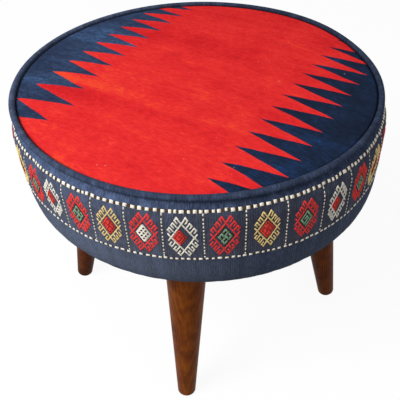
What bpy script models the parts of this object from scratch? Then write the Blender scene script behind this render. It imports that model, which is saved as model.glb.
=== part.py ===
"""A round footstool covered in flatwoven kilim, on four splayed and tapered legs.

Metres, +Z up. The origin is on the floor under the middle of the seat, and the front leg
stands at -Y. Heights are stacked up from the underside of the seat.
"""

import math

import bmesh
import bpy

# Clearances
CLEARANCE = 0.0003  # between pieces that touch
OVERCUT = 0.001  # how far a cutter stands out of what it cuts

# Outline of the seat
RIM_RADIUS = 0.225  # outside of the piping
SIDE_BULGE = 0.007  # how far the fullest part of the side stands outside the rim
SEAM_SETBACK = 0.0015  # how far the band's top edge lies inside the rim
DRAW_DEPTH = 0.028  # height over which the band is drawn in to the seam
TUCK_IN = 0.020  # how far the band's bottom edge is drawn in
TUCK_RISE = 0.036  # height over which the bottom edge is drawn in
CROWN = 0.007  # how far the middle of the top stands above its edge
CROWN_POWER = 4  # higher is flatter in the middle and steeper at the edge
UNDERSIDE_HEIGHT = 0.244  # floor to the underside of the band

# Cloth and padding
KILIM = 0.0025  # thickness of the flatweave
WADDING = 0.005  # thickness of the wadding under it
FOAM_EDGE = 0.042  # thickness of the seat foam at its edge
PADDING_TUCK = 60  # degrees of the tuck that the padding under the cover follows
PADDING_DRAW = 0.75  # share of the drawn-in height that the foam follows
DUST_COVER = 0.0008  # thickness of the dust cover
DUST_SETBACK = 0.007  # how far the dust cover's edge lies inside the band's bottom edge
DUST_STEP_RUN = 0.003  # width of its slope from the base board down to the turned-in band

# Piping
PIPING_RADIUS = 0.0038  # outside of the sleeve
PIPING_CLOTH = 0.0012  # thickness of the sleeve
PIPING_RISE = 0.002  # middle of the piping above the edge of the top cover
PIPING_SLIT = math.radians(60)  # where the sleeve's two edges meet in the seam
PIPING_SLIT_MIDDLE = math.radians(225)  # down and inwards, seen with the seat on the left

# Wooden frame
BASE_BOARD = 0.018  # thickness
DECK_BOARD = 0.012  # thickness
HOOP_WALL = 0.004  # thickness of the bent wall round both boards
POST_HEIGHT = 0.0545
POST_SIDE = 0.040
POST_SETBACK = 0.030  # middle of a post inside the boards' edge
POST_SCREW_SPACING = 0.016  # between the upper and the lower screw, seen from above

# Legs
LEG_INSET = 0.0557  # leg's axis inside the band's bottom edge, at the underside
SPLAY = math.radians(11.2)
LEG_TOP_RADIUS = 0.0275
LEG_TOP_CHAMFER = 0.0015
FOOT_RADIUS = 0.0125
FOOT_ROUNDING = 0.005
FOOT_TRIM = 0.0016  # how much of the foot's rounded end is sanded off level with the floor

# Leg plates and fasteners
PLATE_SIDE = 0.056
PLATE_THICKNESS = 0.0025
PLATE_CORNER = 0.008  # rounding of its corners, with a screw in the middle of each
PLATE_MARGIN = 0.001  # between the plates and the slope of the dust cover
PAD_RADIUS = 0.015  # slanted pad that the leg's top seats on
BOLT_RADIUS = 0.004
BOLT_ABOVE = 0.015  # length of the hanger bolt above the leg
BOLT_BELOW = 0.030  # and inside it
BOLT_POINT = 0.005
BOLT_CHAMFER = 0.0006
SCREW_RADIUS = 0.002
SCREW_HEAD_RADIUS = 0.0038
SCREW_HEAD_DEPTH = 0.0022
SCREW_POINT = 0.004
PLATE_SCREW_LENGTH = 0.016
DECK_SCREW_LENGTH = 0.035
BASE_SCREW_LENGTH = 0.040

# Facets, and where the crown has its rings, as shares of its radius
COVER_RINGS = (0.0, 0.35, 0.6, 0.8, 0.92, 1.0)
COVER_DRAW_STEPS = 4
COVER_TUCK_STEPS = 6
PADDING_RINGS = (0.0, 0.6, 0.92, 1.0)
PADDING_STEPS = 2
SEAT_STEPS = 40
LEG_STEPS = 20
PAD_STEPS = 16
BOLT_STEPS = 10
SCREW_STEPS = 8
PIPING_STEPS = 7
CORD_STEPS = 6
CORNER_STEPS = 3
FOOT_STEPS = 3
SHARP_ANGLE = math.radians(35)

# Places, as angles from +X seen from above
LEG_PLACES = {"front": -90, "right": 0, "back": 90, "left": 180}
POST_PLACES = {"front_right": -45, "back_right": 45, "back_left": 135, "front_left": 225}

# Radii that follow
SIDE_RADIUS = RIM_RADIUS + SIDE_BULGE
BOTTOM_EDGE = SIDE_RADIUS - TUCK_IN
HOOP_OUTER = BOTTOM_EDGE - CLEARANCE
BOARD_RADIUS = HOOP_OUTER - HOOP_WALL - CLEARANCE
PIPING_CENTRE = RIM_RADIUS - PIPING_RADIUS
TOP_RADIUS = PIPING_CENTRE - math.sqrt((PIPING_RADIUS + CLEARANCE) ** 2 - PIPING_RISE**2)
POST_CIRCLE = BOARD_RADIUS - POST_SETBACK

# How far each layer lies inside the outer face of the band
WADDING_INSET = KILIM + CLEARANCE
FOAM_INSET = WADDING_INSET + WADDING + CLEARANCE

# Heights that follow, of the edge of the seat where the top is crowned
BASE_BOTTOM = UNDERSIDE_HEIGHT + KILIM + CLEARANCE
BASE_TOP = BASE_BOTTOM + BASE_BOARD
POST_BOTTOM = BASE_TOP + CLEARANCE
DECK_BOTTOM = POST_BOTTOM + POST_HEIGHT + CLEARANCE
DECK_TOP = DECK_BOTTOM + DECK_BOARD
FOAM_BOTTOM = DECK_TOP + CLEARANCE
FOAM_TOP = FOAM_BOTTOM + FOAM_EDGE
WADDING_BOTTOM = FOAM_TOP + CLEARANCE
WADDING_TOP = WADDING_BOTTOM + WADDING
TOP_COVER_BOTTOM = WADDING_TOP + CLEARANCE
TOP_COVER_TOP = TOP_COVER_BOTTOM + KILIM
PIPING_HEIGHT = TOP_COVER_TOP + PIPING_RISE
BAND_TOP = PIPING_HEIGHT - math.sqrt(
    (PIPING_RADIUS + CLEARANCE) ** 2 - (PIPING_RADIUS - SEAM_SETBACK) ** 2
)
FULL_HEIGHT = BAND_TOP - DRAW_DEPTH
TUCK_HEIGHT = UNDERSIDE_HEIGHT + TUCK_RISE

# Underside, from the base board down to the top of a leg
DUST_TOP = BASE_BOTTOM - CLEARANCE
PLATE_TOP = DUST_TOP - DUST_COVER - CLEARANCE
PLATE_BOTTOM = PLATE_TOP - PLATE_THICKNESS
LEG_TOP = PLATE_BOTTOM - CLEARANCE - (LEG_TOP_RADIUS - LEG_TOP_CHAMFER) * math.sin(SPLAY)


def leg_circle(height):
    """Distance of the legs' axes from the middle of the seat, at a height above the floor."""
    at_underside = BOTTOM_EDGE - LEG_INSET
    return at_underside + (UNDERSIDE_HEIGHT - height) * math.tan(SPLAY)


# The band is turned in under the base board as far as the leg plates let it
PLATE_HOLE = PLATE_SIDE / 2 - PLATE_CORNER
PLATE_REACH = math.hypot(leg_circle(PLATE_BOTTOM) + PLATE_HOLE, PLATE_HOLE) + PLATE_CORNER
DUST_STEP = PLATE_REACH + PLATE_MARGIN
TURN_IN_EDGE = DUST_STEP + DUST_STEP_RUN + CLEARANCE


def linear(hex_colour):
    """An sRGB colour such as 6B3A1C as linear red, green, blue and alpha."""
    shares = [int(hex_colour[i : i + 2], 16) / 255 for i in (0, 2, 4)]
    return [s / 12.92 if s <= 0.04045 else ((s + 0.055) / 1.055) ** 2.4 for s in shares] + [1.0]


def finish(name, hex_colour, roughness, metallic=0.0):
    """A plain material of one colour."""
    material = bpy.data.materials.new(name)
    material.use_nodes = True
    shader = material.node_tree.nodes["Principled BSDF"]
    shader.inputs["Base Color"].default_value = linear(hex_colour)
    shader.inputs["Roughness"].default_value = roughness
    shader.inputs["Metallic"].default_value = metallic
    return material


def add(name, mesh, collection, material=None, parent=None, location=(0, 0, 0), rotation=(0, 0, 0)):
    """A named object of this mesh in a collection. With no material it is a helper that is not shown."""
    piece = bpy.data.objects.new(name, mesh)
    collection.objects.link(piece)
    piece.parent = parent
    piece.location = location
    piece.rotation_euler = rotation
    if material:
        mesh.materials.append(material)
    else:
        piece.hide_render = True
        piece.display_type = "WIRE"
    return piece


def turned(name, outline, steps, collection, **placing):
    """A turned piece. Its outline is (radius, height) pairs that run down the outer side.

    It starts and ends on the axis, or else goes round a ring's whole section.
    """
    count = len(outline)
    links = [(i, i + 1) for i in range(count - 1)]
    if outline[0][0] > 0:
        links.append((count - 1, 0))
    mesh = bpy.data.meshes.new(name)
    mesh.from_pydata([(radius, 0, height) for radius, height in outline], links, [])
    piece = add(name, mesh, collection, **placing)
    turn = piece.modifiers.new("Turn", "SCREW")
    turn.steps = steps
    turn.render_steps = steps
    turn.use_merge_vertices = True
    turn.merge_threshold = 0.00001
    return piece


def block(name, size, collection, corner=0.0, **placing):
    """A block of this size, with its upright edges rounded if it has a corner radius."""
    shape = bmesh.new()
    bmesh.ops.create_cube(shape, size=1.0)
    bmesh.ops.scale(shape, vec=size, verts=shape.verts)
    if corner:
        upright = [e for e in shape.edges if abs(e.verts[0].co.z - e.verts[1].co.z) > size[2] / 2]
        bmesh.ops.bevel(
            shape, geom=upright, offset=corner, segments=CORNER_STEPS, profile=0.5, affect="EDGES"
        )
    mesh = bpy.data.meshes.new(name)
    shape.to_mesh(mesh)
    shape.free()
    return add(name, mesh, collection, **placing)


def combine(piece, others, operation="DIFFERENCE"):
    """Cut the others out of a piece, or join them to it."""
    for other in others:
        change = piece.modifiers.new(other.name, "BOOLEAN")
        change.operation = operation
        change.object = other


def settle(piece):
    """Fix a piece's modifiers into its mesh, smooth on round faces and sharp at edges."""
    graph = bpy.context.evaluated_depsgraph_get()
    mesh = bpy.data.meshes.new_from_object(piece.evaluated_get(graph))
    piece.modifiers.clear()
    piece.data = mesh
    mesh.shade_smooth()
    mesh.set_sharp_from_angle(angle=SHARP_ANGLE)


def polar(radius, degrees, height):
    """A point at this distance from the upright axis, this way round and this high."""
    return (
        radius * math.cos(math.radians(degrees)),
        radius * math.sin(math.radians(degrees)),
        height,
    )


def crowned(edge_height, to_radius, shares):
    """Points from the middle of the seat outwards along its crown, which is flat in the middle."""
    radii = [to_radius * share for share in shares]
    return [(r, edge_height + CROWN * (1 - (r / TOP_RADIUS) ** CROWN_POWER)) for r in radii]


def drawn_in(inset, steps, from_share=1.0):
    """Points down the top of the side, where a parabola draws it in to the seam.

    They lie inside the outer face by the inset, and start at a share of the drawn-in height.
    """
    draw = SIDE_BULGE + SEAM_SETBACK
    points = []
    for step in range(steps + 1):
        share = from_share * (1 - step / steps)
        lean = math.atan(2 * draw * share / DRAW_DEPTH)
        radius = SIDE_RADIUS - draw * share**2 - inset * math.cos(lean)
        height = FULL_HEIGHT + DRAW_DEPTH * share - inset * math.sin(lean)
        points.append((radius, height))
    return points


def tucked_in(inset, steps, to_degrees):
    """Points down the foot of the side, where a quarter of an ellipse tucks it in.

    They lie inside the outer face by the inset, and stop at an angle of the quarter.
    """
    points = []
    for step in range(steps + 1):
        angle = math.radians(to_degrees * step / steps)
        lean = math.atan2(TUCK_IN * math.sin(angle), TUCK_RISE * math.cos(angle))
        radius = SIDE_RADIUS - TUCK_IN * (1 - math.cos(angle)) - inset * math.cos(lean)
        height = TUCK_HEIGHT - TUCK_RISE * math.sin(angle) + inset * math.sin(lean)
        points.append((radius, height))
    return points


def top_cover(parts, material):
    """The round panel of the seat, crowned, up to the piping."""
    upper = crowned(TOP_COVER_TOP, TOP_RADIUS, COVER_RINGS)
    lower = crowned(TOP_COVER_BOTTOM, TOP_RADIUS, COVER_RINGS)
    return turned("top_cover", upper + lower[::-1], SEAT_STEPS, parts, material=material)


def band_cover(parts, material):
    """The strip round the side, drawn in at the seam, full, tucked in and turned under."""
    outer = drawn_in(0, COVER_DRAW_STEPS) + tucked_in(0, COVER_TUCK_STEPS, 90)
    outer.append((TURN_IN_EDGE, UNDERSIDE_HEIGHT))
    inner = drawn_in(KILIM, COVER_DRAW_STEPS) + tucked_in(KILIM, COVER_TUCK_STEPS, 90)
    inner.append((TURN_IN_EDGE, UNDERSIDE_HEIGHT + KILIM))
    return turned("band_cover", outer + inner[::-1], SEAT_STEPS, parts, material=material)


def ring_of_arc(radius, from_angle, to_angle, steps):
    """Points of an arc round the middle of the piping."""
    angles = [from_angle + (to_angle - from_angle) * step / steps for step in range(steps + 1)]
    return [
        (PIPING_CENTRE + radius * math.cos(a), PIPING_HEIGHT + radius * math.sin(a)) for a in angles
    ]


def piping_sleeve(parts, material):
    """The cloth round the piping cord, open along the seam."""
    start = PIPING_SLIT_MIDDLE + PIPING_SLIT / 2
    end = PIPING_SLIT_MIDDLE - PIPING_SLIT / 2 + 2 * math.pi
    outer = ring_of_arc(PIPING_RADIUS, end, start, PIPING_STEPS)
    inner = ring_of_arc(PIPING_RADIUS - PIPING_CLOTH, start, end, PIPING_STEPS)
    return turned("piping_sleeve", outer + inner, SEAT_STEPS, parts, material=material)


def piping_cord(parts, material):
    """The cotton cord that fills the sleeve, up to the sleeve's inner facets."""
    half_facet = (2 * math.pi - PIPING_SLIT) / PIPING_STEPS / 2
    radius = (PIPING_RADIUS - PIPING_CLOTH) * math.cos(half_facet) - CLEARANCE
    outline = ring_of_arc(radius, 2 * math.pi, 0, CORD_STEPS)[:-1]
    return turned("piping_cord", outline, SEAT_STEPS, parts, material=material)


def wadding(parts, material):
    """A cap of wadding over the foam and down the side."""
    outer = crowned(WADDING_TOP, TOP_RADIUS, PADDING_RINGS)
    outer += drawn_in(WADDING_INSET, PADDING_STEPS)
    outer += tucked_in(WADDING_INSET, PADDING_STEPS, PADDING_TUCK)
    inset = WADDING_INSET + WADDING
    inner = crowned(WADDING_BOTTOM, TOP_RADIUS - WADDING, PADDING_RINGS)
    inner += drawn_in(inset, PADDING_STEPS, PADDING_DRAW)
    inner += tucked_in(inset, PADDING_STEPS, PADDING_TUCK)
    return turned("wadding", outer + inner[::-1], SEAT_STEPS, parts, material=material)


def seat_foam(parts, material):
    """The foam of the seat, on the deck board."""
    outline = crowned(FOAM_TOP, TOP_RADIUS - WADDING, PADDING_RINGS)
    outline += drawn_in(FOAM_INSET, PADDING_STEPS, PADDING_DRAW)
    outline += [(SIDE_RADIUS - FOAM_INSET, FOAM_BOTTOM), (0, FOAM_BOTTOM)]
    return turned("seat_foam", outline, SEAT_STEPS, parts, material=material)


def side_foam(parts, material):
    """The foam strip round the hoop wall."""
    outline = [(HOOP_OUTER + CLEARANCE, DECK_TOP), (SIDE_RADIUS - FOAM_INSET, DECK_TOP)]
    outline += tucked_in(FOAM_INSET, PADDING_STEPS, PADDING_TUCK)
    outline.append((HOOP_OUTER + CLEARANCE, outline[-1][1]))
    return turned("side_foam", outline, SEAT_STEPS, parts, material=material)


def hoop_wall(parts, material):
    """The bent wall round the edges of both boards."""
    inner = HOOP_OUTER - HOOP_WALL
    outline = [
        (inner, DECK_TOP),
        (HOOP_OUTER, DECK_TOP),
        (HOOP_OUTER, BASE_BOTTOM),
        (inner, BASE_BOTTOM),
    ]
    return turned("hoop_wall", outline, SEAT_STEPS, parts, material=material)


def board(name, bottom, top, holes, parts, material):
    """A round board, with holes for the fasteners that go into it."""
    outline = [(0, top), (BOARD_RADIUS, top), (BOARD_RADIUS, bottom), (0, bottom)]
    piece = turned(name, outline, SEAT_STEPS, parts, material=material)
    combine(piece, holes)
    return piece


def dust_cover(holes, parts, material):
    """The thin cloth of the underside, flat on the base board and over the band's turned-in edge."""
    edge = BOTTOM_EDGE - DUST_SETBACK
    upper = [(0, DUST_TOP), (DUST_STEP, DUST_TOP)]
    upper += [(DUST_STEP + DUST_STEP_RUN, UNDERSIDE_HEIGHT - CLEARANCE)]
    upper += [(edge, UNDERSIDE_HEIGHT - CLEARANCE)]
    lower = [(radius, height - DUST_COVER) for radius, height in upper]
    piece = turned("dust_cover", upper + lower[::-1], SEAT_STEPS, parts, material=material)
    combine(piece, holes)
    return piece


def screw_outline(length, grown=0.0):
    """Half of a countersunk screw, head up, or of the hole for it if it is grown."""
    head = SCREW_HEAD_RADIUS + grown
    shank = SCREW_RADIUS + grown
    rim = [(0, OVERCUT), (head, OVERCUT), (head, 0)] if grown else [(0, 0), (head, 0)]
    return rim + [
        (shank, -SCREW_HEAD_DEPTH),
        (shank, SCREW_POINT - length),
        (0, -length - grown),
    ]


def screw(name, length, parts, cutters, material, **placing):
    """A countersunk screw and the cutter for its hole."""
    made = turned(name, screw_outline(length), SCREW_STEPS, parts, material=material, **placing)
    hole_outline = screw_outline(length, CLEARANCE)
    hole = turned(name + "_hole", hole_outline, SCREW_STEPS, cutters, **placing)
    return made, hole


def bolt_outline(grown=0.0):
    """Half of a hanger bolt on its leg's axis, with the leg's top at zero, or of the hole for it."""
    radius = BOLT_RADIUS + grown
    top = BOLT_ABOVE + grown
    return [
        (0, top),
        (radius - BOLT_CHAMFER, top),
        (radius, top - BOLT_CHAMFER),
        (radius, BOLT_POINT - BOLT_BELOW),
        (0, -BOLT_BELOW - grown),
    ]


def leg_outline():
    """Half of a leg, from its top down: chamfer, straight taper, rounded foot."""
    length = (LEG_TOP + FOOT_TRIM) / math.cos(SPLAY)
    outline = [(0, 0), (LEG_TOP_RADIUS - LEG_TOP_CHAMFER, 0), (LEG_TOP_RADIUS, -LEG_TOP_CHAMFER)]
    for step in range(FOOT_STEPS + 1):
        angle = math.pi / 2 * step / FOOT_STEPS
        radius = FOOT_RADIUS - FOOT_ROUNDING * (1 - math.cos(angle))
        outline.append((radius, FOOT_ROUNDING * (1 - math.sin(angle)) - length))
    return outline + [(0, -length)]


def plate_pad(name, cutters, parent):
    """The slanted pad under a leg plate. Its lower face is square to the leg's axis."""
    shape = bmesh.new()
    bmesh.ops.create_cone(
        shape,
        cap_ends=True,
        segments=PAD_STEPS,
        radius1=PAD_RADIUS,
        radius2=PAD_RADIUS,
        depth=PLATE_THICKNESS,
    )
    outward = leg_circle(LEG_TOP) - leg_circle(PLATE_BOTTOM)
    for corner in shape.verts:
        if corner.co.z > 0:
            corner.co.z = PLATE_THICKNESS / 2
        else:
            slope = (corner.co.x - outward) * math.tan(SPLAY)
            corner.co.z = LEG_TOP - PLATE_BOTTOM + slope + CLEARANCE / math.cos(SPLAY)
    mesh = bpy.data.meshes.new(name)
    shape.to_mesh(mesh)
    shape.free()
    return add(name, mesh, cutters, parent=parent)


def leg_set(place, degrees, floor, parts, cutters, finishes):
    """A leg with its hanger bolt, leg plate and plate screws, and the holes that they need above."""
    axis = add(place + "_leg_axis", None, parts)
    axis.location = polar(leg_circle(LEG_TOP), degrees, LEG_TOP)
    axis.rotation_euler = (0, -SPLAY, math.radians(degrees))
    seat = add(place + "_plate_seat", None, parts)
    seat.location = polar(leg_circle(PLATE_BOTTOM), degrees, PLATE_BOTTOM)
    seat.rotation_euler = (0, 0, math.radians(degrees))

    bolt = turned(
        place + "_hanger_bolt", bolt_outline(), BOLT_STEPS, parts, parent=axis, material=finishes["steel"]
    )
    bolt_hole = turned(
        place + "_bolt_hole", bolt_outline(CLEARANCE), BOLT_STEPS, cutters, parent=axis
    )
    leg = turned(
        place + "_leg", leg_outline(), LEG_STEPS, parts, parent=axis, material=finishes["walnut"]
    )
    combine(leg, [bolt_hole, floor])

    screws = []
    holes = []
    for number, (x, y) in enumerate(((1, 1), (-1, 1), (-1, -1), (1, -1)), start=1):
        made, hole = screw(
            f"{place}_plate_screw_{number}",
            PLATE_SCREW_LENGTH,
            parts,
            cutters,
            finishes["steel"],
            parent=seat,
            location=(x * PLATE_HOLE, y * PLATE_HOLE, 0),
            rotation=(math.pi, 0, 0),
        )
        screws.append(made)
        holes.append(hole)

    plate = block(
        place + "_leg_plate",
        (PLATE_SIDE, PLATE_SIDE, PLATE_THICKNESS),
        parts,
        corner=PLATE_CORNER,
        parent=seat,
        location=(0, 0, PLATE_THICKNESS / 2),
        material=finishes["steel"],
    )
    combine(plate, [plate_pad(place + "_plate_pad", cutters, seat)], "UNION")
    combine(plate, [bolt_hole] + holes)
    return [leg, bolt, plate] + screws, [bolt_hole] + holes


def post_set(place, degrees, parts, cutters, finishes):
    """A post between the boards, with its screw from the deck and its screw from the base board."""
    seat = add(place + "_post_seat", None, parts)
    seat.location = polar(POST_CIRCLE, degrees, POST_BOTTOM)
    seat.rotation_euler = (0, 0, math.radians(degrees))
    deck_screw, deck_hole = screw(
        place + "_deck_screw",
        DECK_SCREW_LENGTH,
        parts,
        cutters,
        finishes["steel"],
        parent=seat,
        location=(0, POST_SCREW_SPACING / 2, DECK_TOP - POST_BOTTOM),
    )
    base_screw, base_hole = screw(
        place + "_base_screw",
        BASE_SCREW_LENGTH,
        parts,
        cutters,
        finishes["steel"],
        parent=seat,
        location=(0, -POST_SCREW_SPACING / 2, BASE_BOTTOM - POST_BOTTOM),
        rotation=(math.pi, 0, 0),
    )
    post = block(
        place + "_post",
        (POST_SIDE, POST_SIDE, POST_HEIGHT),
        parts,
        parent=seat,
        location=(0, 0, POST_HEIGHT / 2),
        material=finishes["pine"],
    )
    combine(post, [deck_hole, base_hole])
    return [post, deck_screw, base_screw], deck_hole, base_hole


def floor_cutter(cutters):
    """Everything below the floor under the feet."""
    reach = 2 * (leg_circle(0) + LEG_TOP_RADIUS)
    depth = 2 * FOOT_RADIUS
    return block("floor_level", (reach, reach, depth), cutters, location=(0, 0, -depth / 2))


def main():
    for old in list(bpy.data.objects):
        bpy.data.objects.remove(old, do_unlink=True)
    parts = bpy.data.collections.new("footstool")
    cutters = bpy.data.collections.new("footstool_cutters")
    for collection in (parts, cutters):
        bpy.context.scene.collection.children.link(collection)

    finishes = {
        "red_kilim": finish("red_kilim", "C9322F", 0.9),
        "indigo_kilim": finish("indigo_kilim", "2C3B58", 0.9),
        "indigo_piping": finish("indigo_piping", "25344F", 0.9),
        "cotton": finish("cotton_cord", "D8D0BC", 0.9),
        "wadding": finish("polyester_wadding", "E8E6E0", 0.95),
        "foam": finish("upholstery_foam", "E3D9B4", 0.95),
        "plywood": finish("plywood", "C9A877", 0.7),
        "pine": finish("pine", "D7B583", 0.7),
        "walnut": finish("walnut_stained_beech", "5A3220", 0.45),
        "steel": finish("zinc_plated_steel", "B8B9B6", 0.35, metallic=1.0),
        "dust": finish("black_dust_cloth", "1B1B1C", 0.9),
    }

    floor = floor_cutter(cutters)
    made = []
    leg_holes = []
    for place, degrees in LEG_PLACES.items():
        pieces, holes = leg_set(place, degrees, floor, parts, cutters, finishes)
        made += pieces
        leg_holes += holes
    deck_holes = []
    base_holes = []
    for place, degrees in POST_PLACES.items():
        pieces, deck_hole, base_hole = post_set(place, degrees, parts, cutters, finishes)
        made += pieces
        deck_holes.append(deck_hole)
        base_holes.append(base_hole)

    plywood = finishes["plywood"]
    made += [
        board("base_board", BASE_BOTTOM, BASE_TOP, leg_holes + base_holes, parts, plywood),
        board("deck_board", DECK_BOTTOM, DECK_TOP, deck_holes, parts, plywood),
        hoop_wall(parts, plywood),
        side_foam(parts, finishes["foam"]),
        seat_foam(parts, finishes["foam"]),
        wadding(parts, finishes["wadding"]),
        top_cover(parts, finishes["red_kilim"]),
        band_cover(parts, finishes["indigo_kilim"]),
        piping_sleeve(parts, finishes["indigo_piping"]),
        piping_cord(parts, finishes["cotton"]),
        dust_cover(leg_holes, parts, finishes["dust"]),
    ]
    for piece in made:
        settle(piece)


main()
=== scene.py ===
"""Looks of the kilim footstool: cloth, brocade, piping, legs, underside, floor, light and camera.

Metres, +Z up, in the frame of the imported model. Places round the seat are angles from the front
(-Y) towards +X. Every new surface is a grid of points worked out as whole arrays.
"""

import math

import bmesh
import bpy
import numpy as np
from mathutils import Matrix, Vector


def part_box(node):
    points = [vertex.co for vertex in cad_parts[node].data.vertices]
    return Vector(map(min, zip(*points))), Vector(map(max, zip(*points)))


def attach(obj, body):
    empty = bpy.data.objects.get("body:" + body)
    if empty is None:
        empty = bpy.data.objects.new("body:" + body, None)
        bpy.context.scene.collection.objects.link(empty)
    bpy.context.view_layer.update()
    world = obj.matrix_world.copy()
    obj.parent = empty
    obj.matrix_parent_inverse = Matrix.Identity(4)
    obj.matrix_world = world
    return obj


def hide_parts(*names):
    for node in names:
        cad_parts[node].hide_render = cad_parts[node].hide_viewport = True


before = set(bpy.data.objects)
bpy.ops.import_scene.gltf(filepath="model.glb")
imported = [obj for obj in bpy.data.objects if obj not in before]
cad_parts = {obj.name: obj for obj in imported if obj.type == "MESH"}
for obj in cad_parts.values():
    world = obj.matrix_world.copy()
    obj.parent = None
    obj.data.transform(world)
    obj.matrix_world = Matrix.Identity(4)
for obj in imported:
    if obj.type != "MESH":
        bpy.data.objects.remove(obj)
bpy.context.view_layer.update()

chance = np.random.default_rng(11)

# Sizes taken from the frame
SEAT_LOW, SEAT_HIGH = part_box("band_cover")
PIPING_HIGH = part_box("piping_sleeve")[1]
DUST_LOW, DUST_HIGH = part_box("dust_cover")
SIDE_RADIUS = SEAT_HIGH.x  # fullest part of the side
UNDERSIDE = SEAT_LOW.z
BAND_TOP = SEAT_HIGH.z - 0.0006  # its edge, just under the welt
RIM_RADIUS = PIPING_HIGH.x  # outside of the piping
RIM_TOP = PIPING_HIGH.z
DUST_RADIUS = DUST_HIGH.x
WALL_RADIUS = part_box("hoop_wall")[1].x  # outside of the wooden frame

# The seat's outline: close to the solids', with the seam, tuck and lean of the real covers
KILIM = 0.0025  # thickness of the flatweave
CROWN = 0.0075  # how far the middle of the top stands above its edge
CROWN_POWER = 4
SEAM_SETBACK = 0.0045  # band's top edge inside the rim
DRAW_DEPTH = 0.028  # height over which the band is drawn in to the seam
TUCK_IN = 0.0245  # how far the band's bottom edge is drawn in
TUCK_RISE = 0.042  # height over which it is drawn in
TUCK_MORE = 0.0015  # the upholsterer drew the left side in by this much more than the right
TUCK_FRONT = 0.0026  # and the front by this much more than the back
TURN_IN = 0.0125  # width of the band turned under the seat
DRAWN_THIN = 0.0004  # thickness to which the band is stretched over the frame's lower edge
FULL_HEIGHT = BAND_TOP - DRAW_DEPTH
TUCK_HEIGHT = UNDERSIDE + TUCK_RISE
BOTTOM_EDGE = SIDE_RADIUS - TUCK_IN
LEAN = -0.026  # the padding leans to the left by this share of its height
LEAN_LEVEL = (UNDERSIDE + RIM_TOP) / 2
FLARE = 0.0088  # and swells outwards by this share towards the rim
SPACE = 0.0003  # between two things that lie on each other
WADDING = 0.005
WALL_MARGIN = 0.0019  # between the upright wooden wall and the foam that leans beside it
DUST_CLOTH = 0.0008
PIPING_RADIUS = 0.0036
PIPING_CENTRE = RIM_RADIUS - PIPING_RADIUS
PIPING_HEIGHT = RIM_TOP - PIPING_RADIUS
TIP = 0.0050  # the front of the rim lies lower than the back by this much
TIP_SINK = 0.0011  # and its middle lower than the frame's
TIP_DEPTH = 0.016  # what is further below the rim isn't tipped
TIP_WHOLE = 0.008  # and what is no further below it is tipped in full
WELT_LEFT = 0.0047  # the welt stands out further at the left
WELT_RIGHT = 0.0012  # and at the right
LEFT_POWER = 4  # the higher, the shorter the stretch of welt that stands out
RIGHT_POWER = 16
RIM_POWER = 4  # and the less the cloth further in moves with it
BACK_OUT = 0.0034  # and bulges by this much behind the right side
BACK_ANGLE = math.radians(132)
BACK_WIDTH = math.radians(22)
PIPING_CLOTH = 0.0010  # thickness of the sleeve
PIPING_FLANGE = 0.0026  # how far the strip's two edges run on into the seam
TOP_EDGE = PIPING_HEIGHT - 0.0008  # the welt stands proud of the top
TOP_RADIUS = PIPING_CENTRE - 0.0041

# Where the photographer stood
CAMERA_AZIMUTH = math.radians(7.44)
CAMERA_ELEVATION = math.radians(41.49)
CAMERA_ROLL = -0.0201
CAMERA_DISTANCE = 0.8544
CAMERA_TARGET = Vector((-0.0019, -0.0024, 0.1829))
CAMERA_LENS = 52.0  # millimetres, on a sensor 36 mm wide
LAMPS_FACE = (0, 0, 0.3)  # the seat


def colour(hex_value):
    """An sRGB colour such as 6B3A1C as linear red, green, blue and alpha."""
    shares = np.array([int(hex_value[i : i + 2], 16) for i in (0, 2, 4)]) / 255
    mixed = np.where(shares <= 0.04045, shares / 12.92, ((shares + 0.055) / 1.055) ** 2.4)
    return (*mixed.tolist(), 1.0)


# Kinds of shader node that are used more than once
MATH, RANGE, CURVE = "ShaderNodeMath", "ShaderNodeMapRange", "ShaderNodeFloatCurve"
NOISE, WAVE, RAMP = "ShaderNodeTexNoise", "ShaderNodeTexWave", "ShaderNodeValToRGB"
MIX, BUMP = "ShaderNodeMix", "ShaderNodeBump"
MAPPING, COORDINATES, SPLIT = "ShaderNodeMapping", "ShaderNodeTexCoord", "ShaderNodeSeparateXYZ"


def node(tree, kind, inputs=None, out=0, stops=None, points=None, **settings):
    """Adds a node with its settings, and gives one of its outputs.

    Inputs are values, or outputs of other nodes to link. A colour ramp takes stops, pairs of a
    place and a colour, and a float curve takes points, pairs joined by straight lines.
    """
    made = tree.nodes.new(kind)
    for name, value in settings.items():
        setattr(made, name, value)
    for key, value in (inputs or {}).items():
        if isinstance(value, bpy.types.NodeSocket):
            tree.links.new(value, made.inputs[key])
        else:
            made.inputs[key].default_value = value
    if stops:
        ramp = made.color_ramp.elements
        while len(ramp) < len(stops):
            ramp.new(1.0)
        for element, (place, hex_value) in zip(ramp, stops):
            element.position = place
            element.color = colour(hex_value)
    if points:
        curve = made.mapping.curves[0].points
        while len(curve) < len(points):
            curve.new(0.5, 0.5)
        for point, place in zip(curve, points):
            point.location = place
            point.handle_type = "VECTOR"
        made.mapping.update()
    return made.outputs[out]


def wave_scale(length):
    """Scale of a wave texture whose bands repeat at this length in metres."""
    return math.pi / 10 / length


def material(name, roughness, specular=0.5, metallic=0.0):
    """A new material, its node tree and its shader, with what is the same all over the surface."""
    made = bpy.data.materials.new(name)
    made.use_nodes = True
    tree = made.node_tree
    shader = tree.nodes["Principled BSDF"]
    shader.inputs["Roughness"].default_value = roughness
    shader.inputs["Specular IOR Level"].default_value = specular
    shader.inputs["Metallic"].default_value = metallic
    return made, tree, shader


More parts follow.
